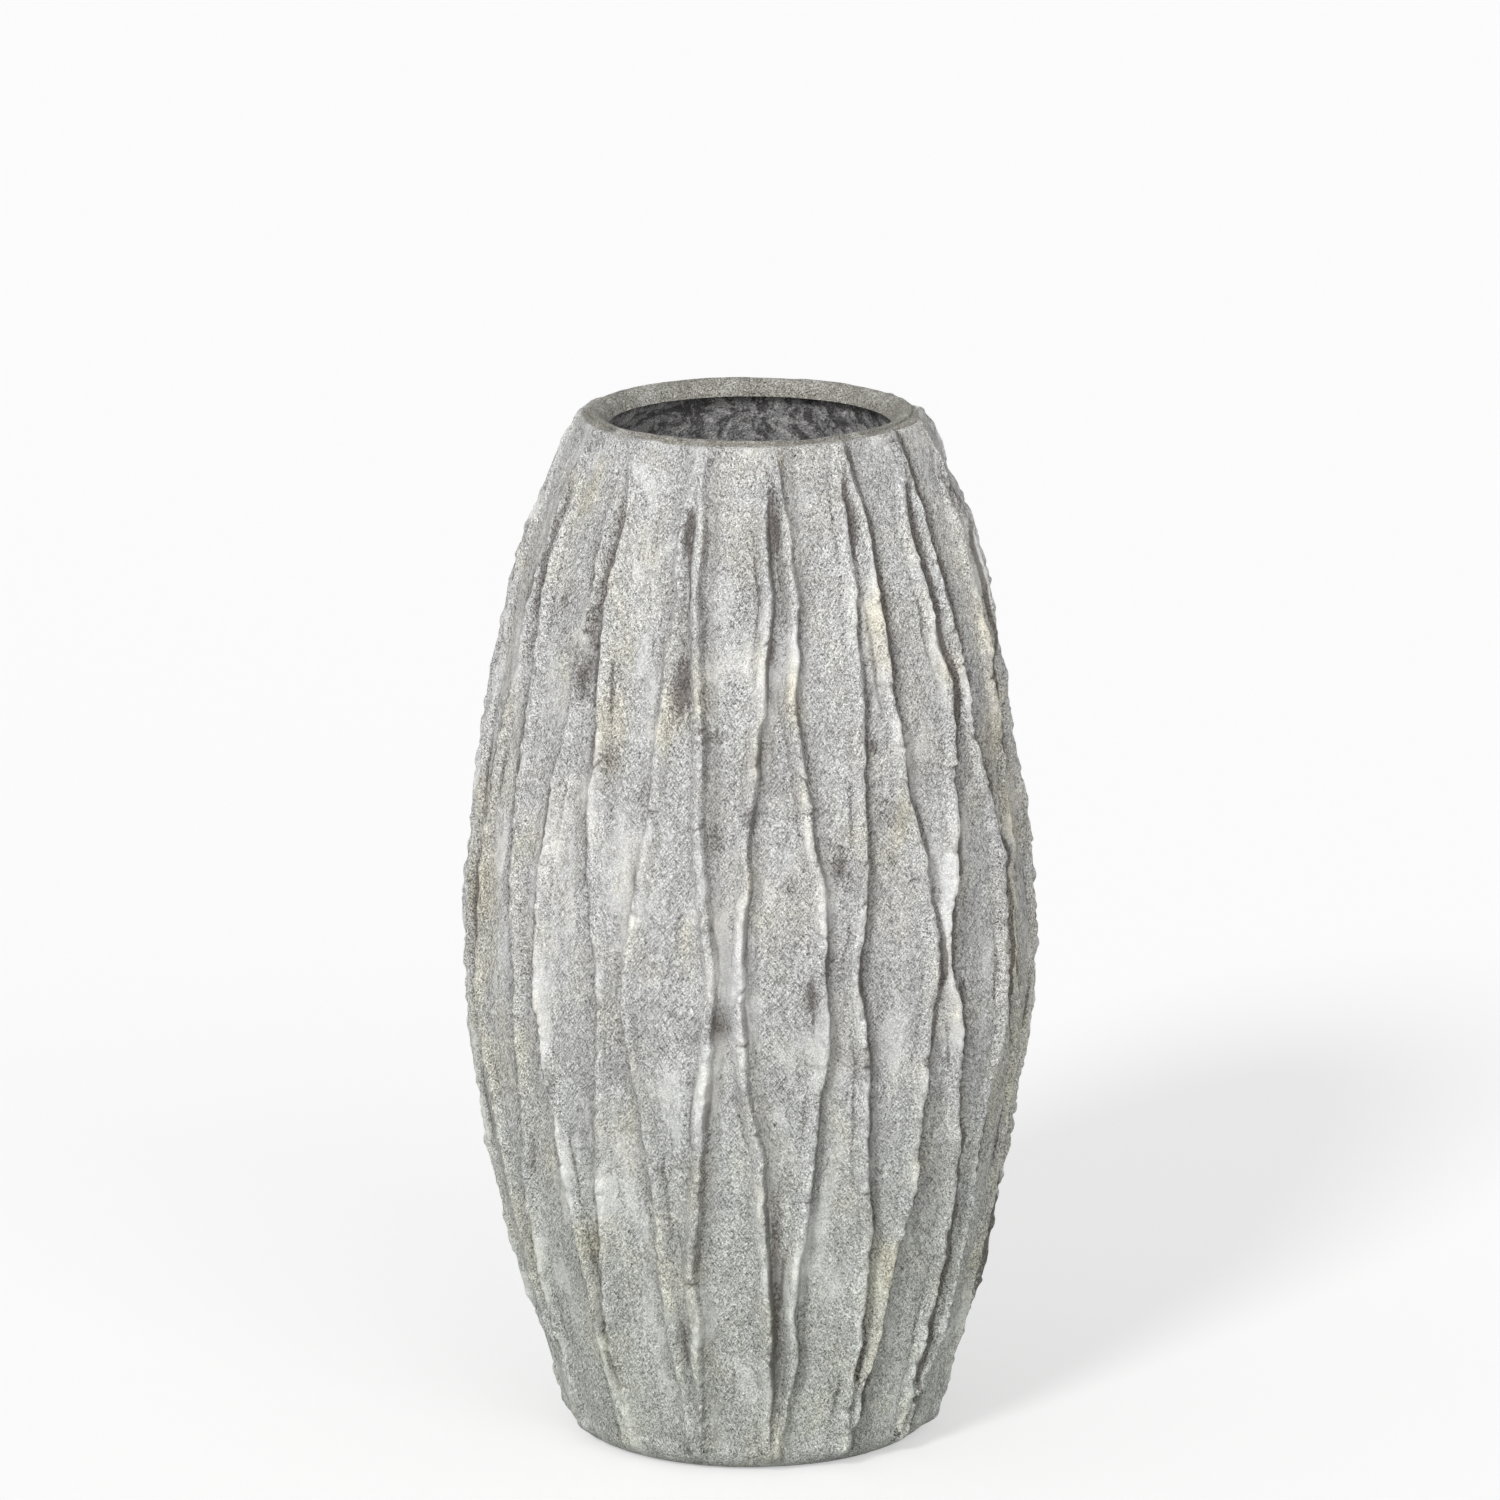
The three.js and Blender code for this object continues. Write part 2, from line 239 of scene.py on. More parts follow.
class Recipe:
    """Node tree of one finish, with a short call for each kind of node that the finishes use."""

    def __init__(self, name: str) -> None:
        """Starts a material with its main shader and the object's own coordinates."""
        self.material = bpy.data.materials.new(name)
        self.material.use_nodes = True
        self.tree = self.material.node_tree
        self.shader = self.tree.nodes["Principled BSDF"]
        self.place = self.node("ShaderNodeTexCoord", {}).outputs["Object"]

    def node(self, kind: str, inputs: dict, **settings: object) -> bpy.types.Node:
        """New node.

        Args:
            kind: Blender's name of the node type.
            inputs: Socket or plain value for each input, by name or number.
            **settings: The node's own settings.

        Returns:
            The node.
        """
        made = self.tree.nodes.new(kind)
        for key, value in settings.items():
            setattr(made, key, value)
        for key, value in inputs.items():
            if isinstance(value, Socket):
                self.tree.links.new(value, made.inputs[key])
            else:
                made.inputs[key].default_value = value
        return made

    def sum(self, *parts: Socket | float) -> Socket:
        """Sum of several values."""
        total = parts[0]
        for part in parts[1:]:
            total = self.node("ShaderNodeMath", {0: total, 1: part}, operation="ADD").outputs[0]
        return total

    def times(self, value: Socket, factor: Socket | float) -> Socket:
        """Product of two values."""
        return self.node("ShaderNodeMath", {0: value, 1: factor}, operation="MULTIPLY").outputs[0]

    def around(self, noise: Socket, strength: float) -> Socket:
        """A noise about its middle value, times a strength."""
        return self.node(
            "ShaderNodeMath", {0: noise, 1: strength, 2: -0.5 * strength}, operation="MULTIPLY_ADD"
        ).outputs[0]

    def noise(
        self, vector: Socket, scale: float, detail: float, roughness: float, distortion: float = 0.0
    ) -> Socket:
        """Fractal noise from 0 to 1.

        Args:
            vector: Where it is read.
            scale: Cells to a metre.
            detail: Number of finer layers.
            roughness: Weight of each finer layer.
            distortion: How far the noise bends itself.

        Returns:
            The noise value.
        """
        inputs = {"Vector": vector, "Scale": scale, "Detail": detail, "Roughness": roughness,
                  "Distortion": distortion}
        return self.node("ShaderNodeTexNoise", inputs).outputs[0]

    def granules(self, scale: float) -> Socket:
        """Grains of even tone: a random value from 0 to 1 for each cell, with `scale` cells to a metre."""
        cells = self.node("ShaderNodeTexVoronoi", {"Vector": self.place, "Scale": scale})
        return self.node("ShaderNodeSeparateColor", {0: cells.outputs["Color"]}).outputs[0]

    def creases(self, noise: Socket, width: float) -> Socket:
        """Winding lines where a noise passes its middle value: 0 on a line, 1 away from it."""
        ridge = self.node("ShaderNodeMath", {0: noise, 1: 0.5}, operation="PINGPONG").outputs[0]
        return self.step(ridge, 0.5, 0.5 - width)

    def stretched(self, vector: Socket, shares: Place) -> Socket:
        """Coordinates stretched along the three axes."""
        return self.node("ShaderNodeMapping", {"Vector": vector, "Scale": shares}).outputs[0]

    def twisted(self, rate: float) -> Socket:
        """Object coordinates turned about the axis by an angle that grows with the height.

        Args:
            rate: Radians to a metre of height. Upright strokes then lean on the barrel.

        Returns:
            The twisted coordinates.
        """
        height = self.node("ShaderNodeSeparateXYZ", {0: self.place}).outputs["Z"]
        inputs = {"Vector": self.place, "Angle": self.times(height, rate)}
        return self.node("ShaderNodeVectorRotate", inputs, rotation_type="Z_AXIS").outputs[0]

    def step(self, value: Socket, low: float, high: float, to: float = 1.0) -> Socket:
        """Soft step of a value from 0 at `low` to `to` at `high`."""
        inputs = {"Value": value, "From Min": low, "From Max": high, "To Min": 0.0, "To Max": to}
        return self.node("ShaderNodeMapRange", inputs, interpolation_type="SMOOTHSTEP").outputs[0]

    def mix(self, share: Socket, first: Socket | Colour, second: Socket | Colour) -> Socket:
        """Colour between two others.

        Args:
            share: Share of the second colour.
            first: Colour at share 0.
            second: Colour at share 1.

        Returns:
            The mixed colour.
        """
        ends = [part if isinstance(part, Socket) else (*part, 1.0) for part in (first, second)]
        inputs = {0: share, 6: ends[0], 7: ends[1]}
        return self.node("ShaderNodeMix", inputs, data_type="RGBA").outputs[2]

    def tinted(self, share: Socket, colour: Socket, tint: Colour) -> Socket:
        """Colour multiplied by a tint, by a share from 0 to 1."""
        inputs = {0: share, 6: colour, 7: (*tint, 1.0)}
        return self.node("ShaderNodeMix", inputs, data_type="RGBA", blend_type="MULTIPLY").outputs[2]

    def shaded(self, colour: Socket, tone: Socket) -> Socket:
        """Colour times a tone, 1 leaving it as it is."""
        return self.node("ShaderNodeVectorMath", {0: colour, "Scale": tone}, operation="SCALE").outputs[0]

    def mark(self) -> tuple[Socket, Socket, Socket, Socket]:
        """The piece's own clay marks: crest, stain with painted shade, ochre, and groove, which also paints
        shade.
        """
        marks = self.node("ShaderNodeAttribute", {}, attribute_name="marks")
        parts = self.node("ShaderNodeSeparateColor", {0: marks.outputs["Color"]}).outputs
        return parts[0], parts[1], parts[2], marks.outputs["Alpha"]

    def finish(self, colour: Socket, rough: Socket, height: Socket, depth: float) -> bpy.types.Material:
        """Joins colour, roughness and bump to the shader.

        Args:
            colour: Base colour.
            rough: Roughness.
            height: Height of the small relief, about 0 to 1.
            depth: Depth in metres that a height of 1 stands for.

        Returns:
            The finished material.
        """
        bump = self.node("ShaderNodeBump", {"Strength": 1.0, "Distance": depth, "Height": height})
        for source, target in ((colour, "Base Color"), (rough, "Roughness"), (bump.outputs[0], "Normal")):
            self.tree.links.new(source, self.shader.inputs[target])
        return self.material


@dataclass(frozen=True)
class ClayFinish:
    """Rough unglazed clay under a rubbed pale wash, with fine grain and short slanting strokes."""

    wash: Colour = (0.75, 0.753, 0.75)
    clay: Colour = (0.42, 0.416, 0.408)
    # colour of stains, and of painted shade along the creases and down the sides
    dirt_and_shade: Colour = (0.16, 0.142, 0.132)
    ochre: Colour = (1.0, 0.946, 0.79)     # tints: shares of the colour under them
    # greener towards the bottom, as the clay is, and darker there as painted shade
    foot: Colour = (0.885, 0.917, 0.87)
    foot_height: float = 430 * MM
    stroke_lean: float = 4.2               # radians to a metre: strokes lean about 38 degrees on the belly
    cover: float = 0.26                    # how much wash an open panel keeps
    grain_depth: float = 0.5 * MM

    def strokes(self, mix: Recipe, lean: float, width: float, length: float) -> Socket:
        """Sparse short strokes that lean on the barrel: the tops of a noise drawn out along them.

        Args:
            mix: The recipe.
            lean: Their lean in radians to a metre of height.
            width: Cells to a metre across a stroke.
            length: Cells to a metre along it.

        Returns:
            1 on a stroke, 0 between strokes.
        """
        drawn = mix.stretched(mix.twisted(lean), (width, width, length))
        return mix.step(mix.noise(drawn, 1.0, 1.0, 0.5), 0.54, 0.63)

    def material(self, name: str) -> bpy.types.Material:
        """Material that reads the clay's marks. They say how much wash stays on the clay, and where stains
        and painted shade darken it.

        Args:
            name: Name of the material.

        Returns:
            The material.
        """
        mix = Recipe(name)
        # The stain mark carries painted shade as well as stains, and the groove mark partly painted shade
        crest, stain, ochre, groove = mix.mark()
        blotch = mix.noise(mix.place, 9.0, 4.0, 0.6)
        patch = mix.noise(mix.stretched(mix.place, (44, 44, 26)), 1.0, 4.0, 0.6)
        lump = mix.noise(mix.place, 170.0, 2.0, 0.6)
        grain = mix.noise(mix.place, 1500.0, 1.0, 0.6)
        granules = mix.granules(1600.0)
        brushed = mix.noise(mix.stretched(mix.place, (190, 190, 14)), 1.0, 3.0, 0.6)
        washed = mix.step(mix.noise(mix.stretched(mix.place, (34, 34, 12)), 1.0, 4.0, 0.65), 0.48, 0.66)
        height = mix.node("ShaderNodeSeparateXYZ", {0: mix.place}).outputs["Z"]
        strokes = mix.sum(
            self.strokes(mix, self.stroke_lean, 1100, 220), self.strokes(mix, -self.stroke_lean, 1020, 230),
            mix.step(mix.noise(mix.place, 700.0, 1.0, 0.6), 0.6, 0.68),
        )
        smooth = mix.sum(mix.times(washed, 0.9), mix.times(groove, 0.35), mix.times(crest, 0.3))
        coarse = mix.step(smooth, 1.4, 0.0)
        strokes = mix.times(strokes, coarse)

        # Less wash where the groove mark is: a thinner wash, and partly painted shade in the grooves
        cover = mix.sum(
            self.cover, mix.around(patch, 1.0), mix.around(brushed, 0.7), mix.around(blotch, 0.6),
            mix.around(lump, 0.4), mix.times(crest, 0.34), mix.times(washed, 0.15), mix.times(groove, -0.5),
        )
        colour = mix.mix(mix.step(cover, -0.5, 1.0), self.clay, self.wash)
        # Darker where stains lie, and where painted shade lies along the creases and down the sides
        soil_and_shade = mix.sum(
            stain, mix.times(strokes, 0.3), mix.around(patch, -0.7), mix.around(lump, 0.5),
            mix.around(grain, 0.5),
        )
        colour = mix.mix(mix.step(soil_and_shade, 0.1, 1.3, 0.85), colour, self.dirt_and_shade)
        speckle = mix.sum(mix.around(grain, 1.6), mix.around(granules, 0.82))
        speckle = mix.times(speckle, mix.sum(0.5, mix.times(coarse, 0.5)))
        colour = mix.shaded(colour, mix.sum(1.2, speckle, mix.times(strokes, -0.22)))
        tint = mix.noise(mix.stretched(mix.place, (30, 30, 17)), 1.0, 4.0, 0.6)
        warm = mix.sum(mix.times(ochre, 0.85), mix.around(tint, 1.45), mix.around(patch, 0.8))
        warm = mix.sum(0.14, warm, mix.times(crest, 0.12))
        colour = mix.tinted(mix.step(warm, 0.0, 1.0), colour, self.ochre)
        # Greener and darker towards the bottom: the green is the clay's, the darkening painted shade
        colour = mix.tinted(mix.step(height, self.foot_height, 0.0), colour, self.foot)

        relief = mix.sum(
            mix.times(grain, 1.0), mix.times(strokes, -1.1), mix.times(lump, 1.2), mix.times(brushed, 0.4),
        )
        mix.shader.inputs["Specular IOR Level"].default_value = 0.04
        return mix.finish(colour, mix.sum(0.86, mix.around(grain, 0.2)), relief, self.grain_depth)


@dataclass(frozen=True)
class RimFinish:
    """Clay smoothed with a wet hand: beige grey, worn pale in places, with fine scratches and stains."""

    body: Colour = (0.33, 0.317, 0.282)
    pale: Colour = (0.465, 0.455, 0.425)
    stain: Colour = (0.13, 0.12, 0.105)
    grain_depth: float = 1.2 * MM

    def material(self, name: str) -> bpy.types.Material:
        """Material with stains round the rim and pale rubbed places.

        Args:
            name: Name of the material.

        Returns:
            The material.
        """
        mix = Recipe(name)
        blotch = mix.noise(mix.place, 24.0, 4.0, 0.6)
        patch = mix.noise(mix.place, 95.0, 4.0, 0.6)
        grain = mix.noise(mix.place, 900.0, 2.0, 0.7)
        rubbed = mix.step(mix.sum(blotch, mix.around(patch, 0.6), mix.around(grain, 0.4)), 0.45, 0.8)
        colour = mix.mix(rubbed, self.body, self.pale)
        spots = mix.sum(mix.noise(mix.place, 38.0, 5.0, 0.65), mix.around(grain, 0.3))
        colour = mix.mix(mix.step(spots, 0.56, 0.75, 0.7), colour, self.stain)
        cracks = mix.creases(mix.noise(mix.place, 230.0, 3.0, 0.65, 1.5), 0.035)
        tone = mix.sum(0.98, mix.around(patch, 0.6), mix.around(grain, 4.4), mix.times(cracks, 0.2))
        relief = mix.sum(mix.times(grain, 0.7), mix.times(patch, 1.2), mix.times(cracks, 0.3))
        mix.shader.inputs["Specular IOR Level"].default_value = 0.3
        rough = mix.sum(0.78, mix.around(patch, 0.2))
        return mix.finish(mix.shaded(colour, tone), rough, relief, self.grain_depth)


@dataclass(frozen=True)
class CoatFinish:
    """Dull dark sealing coat, wiped on in swirls that leave it marbled."""

    dark: Colour = (0.10, 0.096, 0.098)
    grey: Colour = (0.30, 0.295, 0.295)
    light: Colour = (0.80, 0.79, 0.78)
    wipe_depth: float = 0.8 * MM

    def material(self, name: str) -> bpy.types.Material:
        """Material of two bent noises: broad grey swirls and thin pale smears.

        Args:
            name: Name of the material.

        Returns:
            The material.
        """
        mix = Recipe(name)
        swirl = mix.noise(mix.place, 24.0, 3.0, 0.55, 3.6)
        smear = mix.noise(mix.place, 36.0, 3.0, 0.6, 4.5)
        streaks = mix.creases(mix.noise(mix.place, 70.0, 3.0, 0.6, 3.0), 0.03)
        grain = mix.noise(mix.place, 800.0, 1.0, 0.6)
        colour = mix.mix(mix.step(mix.sum(swirl, mix.around(grain, 0.2)), 0.4, 0.6), self.dark, self.grey)
        colour = mix.mix(mix.step(smear, 0.52, 0.6, 0.3), colour, self.light)
        rough = mix.sum(0.5, mix.around(smear, 0.5))
        colour = mix.shaded(colour, mix.sum(1.12, mix.around(grain, 3.4), mix.times(streaks, 0.2)))
        relief = mix.sum(mix.times(swirl, 1.0), mix.times(smear, 0.6), mix.times(grain, 0.3))
        return mix.finish(colour, rough, relief, self.wipe_depth)


def strip_node(leaf: int, side: Side) -> str:
    """Name of a strip's CAD node."""
    return f"leaf_{leaf:02d}_{side.value}_strip"


class Draw(Enum):
    """Random draws of one strip, each a step of its seed."""

    BROAD_STRAY = 1
    SMALL_STRAY = 2
    BROAD_RISE = 3
    SMALL_RISE = 4
    WIDTH = 5
    NICKS = 6
    BROAD_LUMPS = 7
    SMALL_LUMPS = 8
    GENTLE_CREASE = 9
    FINE_STRAY = 10
    BROKEN_CREASE = 11
    PALE_CREST = 12


@dataclass
class StripLine:
    """Course of one strip over the wall, read from the rings of its CAD node."""

    node: str
    heights: Array
    turns: Array
    rises: Array
    beds: Array
    seed: int

    @classmethod
    def read(cls, leaf: int, side: Side) -> "StripLine":
        """Reads a strip: on each level the outermost point is its crest, the innermost its bed.

        Args:
            leaf: Number of the leaf, from 1.
            side: Which of the leaf's two strips.

        Returns:
            The strip's course, from the foot up.
        """
        node = strip_node(leaf, side)
        points = node_points(node)
        radii = np.hypot(points[:, 0], points[:, 1])
        levels = np.round(points[:, 2], 5)
        order = np.lexsort((radii, levels))
        sorted_levels = levels[order]
        first = np.flatnonzero(np.r_[True, np.diff(sorted_levels) > 0])
        last = np.r_[first[1:], len(order)] - 1
        crests = points[order[last]]
        beds = radii[order[first]]
        turns = np.unwrap(np.arctan2(crests[:, 0], -crests[:, 1]))
        seed = 100 * leaf + (50 if side is Side.RIGHT else 0)
        return cls(node, sorted_levels[first], turns, radii[order[last]] - beds, beds, seed)

    @property
    def turn(self) -> float:
        """Turn of the strip's middle, from -pi to pi."""
        return float(apart(self.turns.mean(), 0.0))

    @property
    def steep(self) -> int:
        """Side to which the strip falls steeply: -1 for left, 1 for right."""
        return -1 if self.turn < STEEP_TURN else 1

    def seeded(self, draw: Draw) -> int:
        """Seed of one of the strip's random draws."""
        return self.seed + draw.value

    def wander(self, heights: Array, along: float, draw: Draw) -> Array:
        """Smooth random line over heights from -1 to 1, with a turning point about every `along`."""
        return uneven(np.zeros_like(heights), heights, BELLY, along, self.seeded(draw))


JOINT_STEP = (0.0, 3 * MM)     # a strip drops over this length below a joint
JOINT_RUN_OUT = 45 * MM        # and comes back to its height over about this one


@dataclass(frozen=True)
class Joint:
    """A place where a strip was pieced together: a crack across it, and a lower strip below."""

    leaf: int
    side: Side
    height: float        # millimetres
    depth: float         # share of a full crack
    bend: float = 0.0    # how much the crack bows up beside the crest
    drop: float = 0.0    # share of the strip's height that is missing just below

    @property
    def node(self) -> str:
        """CAD node of the strip."""
        return strip_node(self.leaf, self.side)

    def kept(self, heights: Array) -> Array:
        """Share of the strip's height that stays: less just below the joint, more further down."""
        below = self.height * MM - heights
        return 1 - self.drop * ramp(below, JOINT_STEP) * np.exp(-np.clip(below, 0, None) / JOINT_RUN_OUT)


JOINTS = (
    Joint(2, Side.RIGHT, 200, 1.0),
    Joint(3, Side.LEFT, 466, 1.4, -60, 0.45),
    Joint(3, Side.RIGHT, 512, 0.9, 40, 0.1),
    Joint(3, Side.RIGHT, 390, 1.0, 0, 0.15),
    Joint(3, Side.RIGHT, 143, 1.4, -40, 0.5),
    Joint(4, Side.LEFT, 313, 1.2, 70),
    Joint(4, Side.RIGHT, 466, 1.1, 50, 0.15),
    Joint(4, Side.RIGHT, 203, 1.0, 0, 0.1),
    Joint(5, Side.RIGHT, 545, 1.1, 40, 0.2),
    Joint(5, Side.RIGHT, 505, 0.9),
    Joint(5, Side.RIGHT, 440, 0.8),
    Joint(6, Side.LEFT, 485, 1.2, 0, 0.2),
    Joint(6, Side.RIGHT, 548, 1.0, 30),
    Joint(2, Side.LEFT, 575, 1.1, -50, 0.35),
    Joint(9, Side.LEFT, 420, 1.2, 40, 0.3),
    Joint(10, Side.RIGHT, 250, 1.2, -40, 0.4),
    Joint(12, Side.LEFT, 520, 1.2, 30, 0.3),
    Joint(14, Side.RIGHT, 330, 1.2, 50, 0.3),
)


@dataclass(frozen=True)
class Smudge:
    """A soft blot on the clay: its middle as degrees and millimetres, and its half sizes."""

    turn: float
    height: float
    half_width: float
    half_length: float
    strength: float

    def share(self, turns: Array, heights: Array) -> Array:
        """Strength at each point: a bell curve of the distance from the middle in half sizes."""
        sideways = apart(turns, math.radians(self.turn)) * BELLY / (self.half_width * MM)
        upwards = (heights - self.height * MM) / (self.half_length * MM)
        return self.strength * np.exp(-sideways ** 2 - upwards ** 2)


def smudged(blots: tuple[Smudge, ...], turns: Array, heights: Array) -> Array:
    """Sum of several blots at each point."""
    return sum(blot.share(turns, heights) for blot in blots)


DARK_BLOTS = (
    Smudge(-17, 645, 4.5, 15, 1),
    Smudge(7, 645, 5, 20, 0.9),
    Smudge(30, 650, 4, 13, 0.75),
    Smudge(50, 625, 4, 20, 0.57),
    Smudge(-54, 590, 4.5, 10, 0.76),
    Smudge(-42, 545, 6, 19, 0.66),
    Smudge(-49, 430, 4.5, 29, 0.66),
    Smudge(-25, 420, 4.5, 10, 0.57),
    Smudge(-7, 450, 6, 10, 0.57),
    Smudge(1, 500, 7, 10, 0.47),
    Smudge(12, 345, 6, 11, 0.76),
    Smudge(16, 370, 5, 10, 0.66),
    Smudge(-6, 325, 6, 10, 0.57),
    Smudge(-45, 270, 4.5, 14, 0.57),
    Smudge(24, 300, 5, 11, 0.66),
    Smudge(6, 175, 4.5, 29, 0.66),
    Smudge(-4, 70, 6, 14, 0.47),
    Smudge(28, 505, 3, 6, 0.85),
    Smudge(5, 570, 4.5, 11, 0.76),
    Smudge(-16, 540, 4.5, 21, 0.66),
    Smudge(-7, 515, 4.5, 6, 0.57),
    Smudge(0, 465, 6, 13, 0.57),
    Smudge(19, 430, 6, 11, 0.66),
    Smudge(9, 420, 5, 11, 0.57),
    Smudge(30, 460, 5, 10, 0.47),
    Smudge(-31, 495, 7, 10, 0.47),
    Smudge(31, 430, 4, 11, 0.57),
    Smudge(6, 105, 4.5, 32, 0.57),
    Smudge(-38, 70, 4.5, 19, 0.47),
    # The last two darken both sides of the barrel broadly: painted shade
    Smudge(-76, 420, 22, 220, 0.2),
    Smudge(76, 400, 22, 240, 0.15),
)
OCHRE_BLOTS = (
    Smudge(-40, 160, 14, 20, 0.9),
    Smudge(-54, 660, 12, 24, 0.8),
    Smudge(31, 590, 8, 22, 0.3),
    Smudge(32, 555, 8, 16, 0.2),
    Smudge(62, 330, 12, 24, 0.7),
    Smudge(-14, 375, 8, 24, 0.8),
    Smudge(-38, 605, 8, 18, 0.4),
    Smudge(-19, 515, 7, 20, 0.55),
    Smudge(10, 535, 6, 16, 0.7),
    Smudge(-11, 525, 6, 18, 0.5),
    Smudge(-16, 495, 9, 12, 0.4),
    Smudge(33, 455, 6, 22, 0.8),
    Smudge(55, 455, 9, 12, 0.8),
    Smudge(49, 555, 8, 22, 0.6),
    Smudge(10, 690, 4, 6, 1.2),
    Smudge(-72, 400, 24, 180, 0.6),
    Smudge(72, 400, 24, 220, 1),
)
# Dents of the wall in millimetres, swells where negative
DENTS = (
    Smudge(88, 480, 90, 85, 6.5),
    Smudge(88, 170, 80, 90, 6),
    Smudge(-92, 60, 80, 60, 4),
    Smudge(-88, 335, 90, 90, -4),
    Smudge(-88, 615, 90, 60, -2.6),
    Smudge(88, 605, 90, 55, -3.2),
)


OPEN_HEIGHT = 1.38 * MM        # clay up to this height counts as open wall
COVERED_HEIGHT = 5.98 * MM     # and from this height as strip


def open_share(height: Array) -> Array:
    """How far a place lies off the strips: 1 on the open wall, 0 where they are high."""
    return np.clip((COVERED_HEIGHT - height) / (COVERED_HEIGHT - OPEN_HEIGHT), 0, 1)


@dataclass
class Relief:
    """Height field of the clay over the bare barrel: strips, leaf hollows, and a hand's unevenness."""

    lines: list[StripLine] = field(init=False)
    stations: Array = field(init=False)       # heights at which the bare barrel's radii are known
    radii: Array = field(init=False)
    clay_top: float = 4 * MM                  # how far the clay reaches up the side of the rim
    top_lean: float = 0.25                    # how much it leans in there

    # Course and height of the strips, with turns in radians
    route_stray: float = 1.5 * MM
    eye_place: float = 645 * MM               # level at which the two strips of a leaf part once more
    eye_half: float = 17 * MM
    eye_width: float = 2.0 * MM
    rise_share: float = 1.1                   # height of a strip's crest in shares of its CAD height
    foot_rise: float = 5.2 * MM               # least height of a strip down to the slab
    top_rise: Pair = (3.0 * MM, 4.8 * MM)     # the same up to the rim, on left and right strips
    foot_fade: Pair = (1 * MM, 16 * MM)       # levels between which strips come out of the foot
    top_fade: Pair = (699 * MM, 688 * MM)     # and out of the rim
    left_rise: float = 0.72                   # share of its height where a strip falls to the left
    lap_rise: float = 0.25                    # how much higher strips are that lap to the right
    high_turns: Pair = (0.2, 0.6)             # they grow so over these turns
    low_turns: Pair = (1.35, 1.1)             # and lose it over these at the side
    full_rise: float = 6 * MM                 # strips of this height are marked in full

    # Strips across
    crest_half: Pair = (5.0 * MM, 3.6 * MM)   # crest on its gentle and its steep side
    crest_power: float = 3.2                  # 2 is a bell, more is flatter on top and steeper beside
    width_share: float = 0.24                 # how much wider or narrower a crest may get
    toe_half: Pair = (9 * MM, 4.2 * MM)       # clay smeared out on the same two sides
    toe_share: float = 0.38                   # share of a strip's height that this smear takes
    lap_turns: Pair = (0.3, 0.7)              # over these turns strips begin to lap to the right
    lap_spread: float = 12 * MM               # there the smear is wider and higher by these
    lap_share: float = 0.12
    tip_gap: float = 17 * MM                  # crests get narrower where a leaf is narrower than this
    tip_width: float = 0.62
    tongue_gap: Pair = (10.5 * MM, 8 * MM)    # over these widths a leaf is filled up between its strips
    tongue_share: float = 0.9

    # Grooves that a finger left beside the strips
    groove_place: float = 8.0 * MM            # from the crest
    groove_half: float = 4.2 * MM
    groove_depth: float = 1.5 * MM
    left_groove: float = 0.4                  # share of a full groove where strips fall to the left
    side_turns: Pair = (math.radians(12), math.radians(60))   # over these turns grooves get wider
    side_spread: float = 1.6

    # Creases at the foot of the strips: pressed in, and darkened in colour as painted shade, set where the
    # camera sees past a strip
    crease_start: Pair = (4.3 * MM, 2.9 * MM)   # least distance from the crest, on the front and the sides
    crease_reach: float = 4.0 * MM              # distance where a strip hides nothing
    crease_width: float = 2.6 * MM
    crease_half: float = 0.65 * MM              # softness of its edges
    crease_depth: float = 1.1 * MM
    crease_most: float = math.radians(68)       # strips further round hide no more than here
    hiding_turns: Pair = (1.75, 1.4)            # behind these turns nothing is hidden from the front
    hiding_share: float = 0.84
    crease_margin: float = 2.2 * MM             # what is seen past a strip
    front_crease: float = 0.46                  # share of a full crease on the front
    left_crease: float = 0.42                   # the same where strips fall to the left
    gentle_crease: float = 0.6                  # the same on a strip's gentle side
    gentle_place: float = 7 * MM
    gentle_half: float = 1.2 * MM

    # Hollows of the leaves
    hollow_depth: float = 1.7 * MM            # how deep a leaf sinks where it narrows to its tip
    hollow_gap: float = 15 * MM               # width of the leaf where it sinks most
    hollow_spread: float = 11 * MM
    hollow_foot: Pair = (18 * MM, 43 * MM)    # levels between which hollows begin
    hollow_top: Pair = (672 * MM, 642 * MM)   # and end

    # Colour marks: painted shade along the creases, dark blots and ochre blots
    crease_shade: float = 1.6
    blot_stain_and_shade: float = 1.3
    blot_ochre: float = 0.7

    def __post_init__(self) -> None:
        """Reads all strips, makes their turns rise from one to the next, and the bare barrel."""
        self.lines = [StripLine.read(leaf, side) for leaf in range(1, LEAF_COUNT + 1) for side in Side]
        means = np.array([line.turns.mean() for line in self.lines])
        for line, shift in zip(self.lines, np.unwrap(means) - means):
            line.turns = line.turns + shift
        base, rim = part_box("base_slab")[1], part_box("rim_coil")
        strip = self.lines[0]
        self.stations = np.r_[base.z, strip.heights, rim[0].z, rim[0].z + self.clay_top]
        self.radii = np.r_[base.x, strip.beds, rim[1].x, rim[1].x - self.top_lean * self.clay_top]

    def barrel(self, heights: Array) -> Array:
        """Radius of the bare barrel: a smooth curve through the beds of a strip, slab and rim."""
        return smooth_curve(heights, self.stations, self.radii)

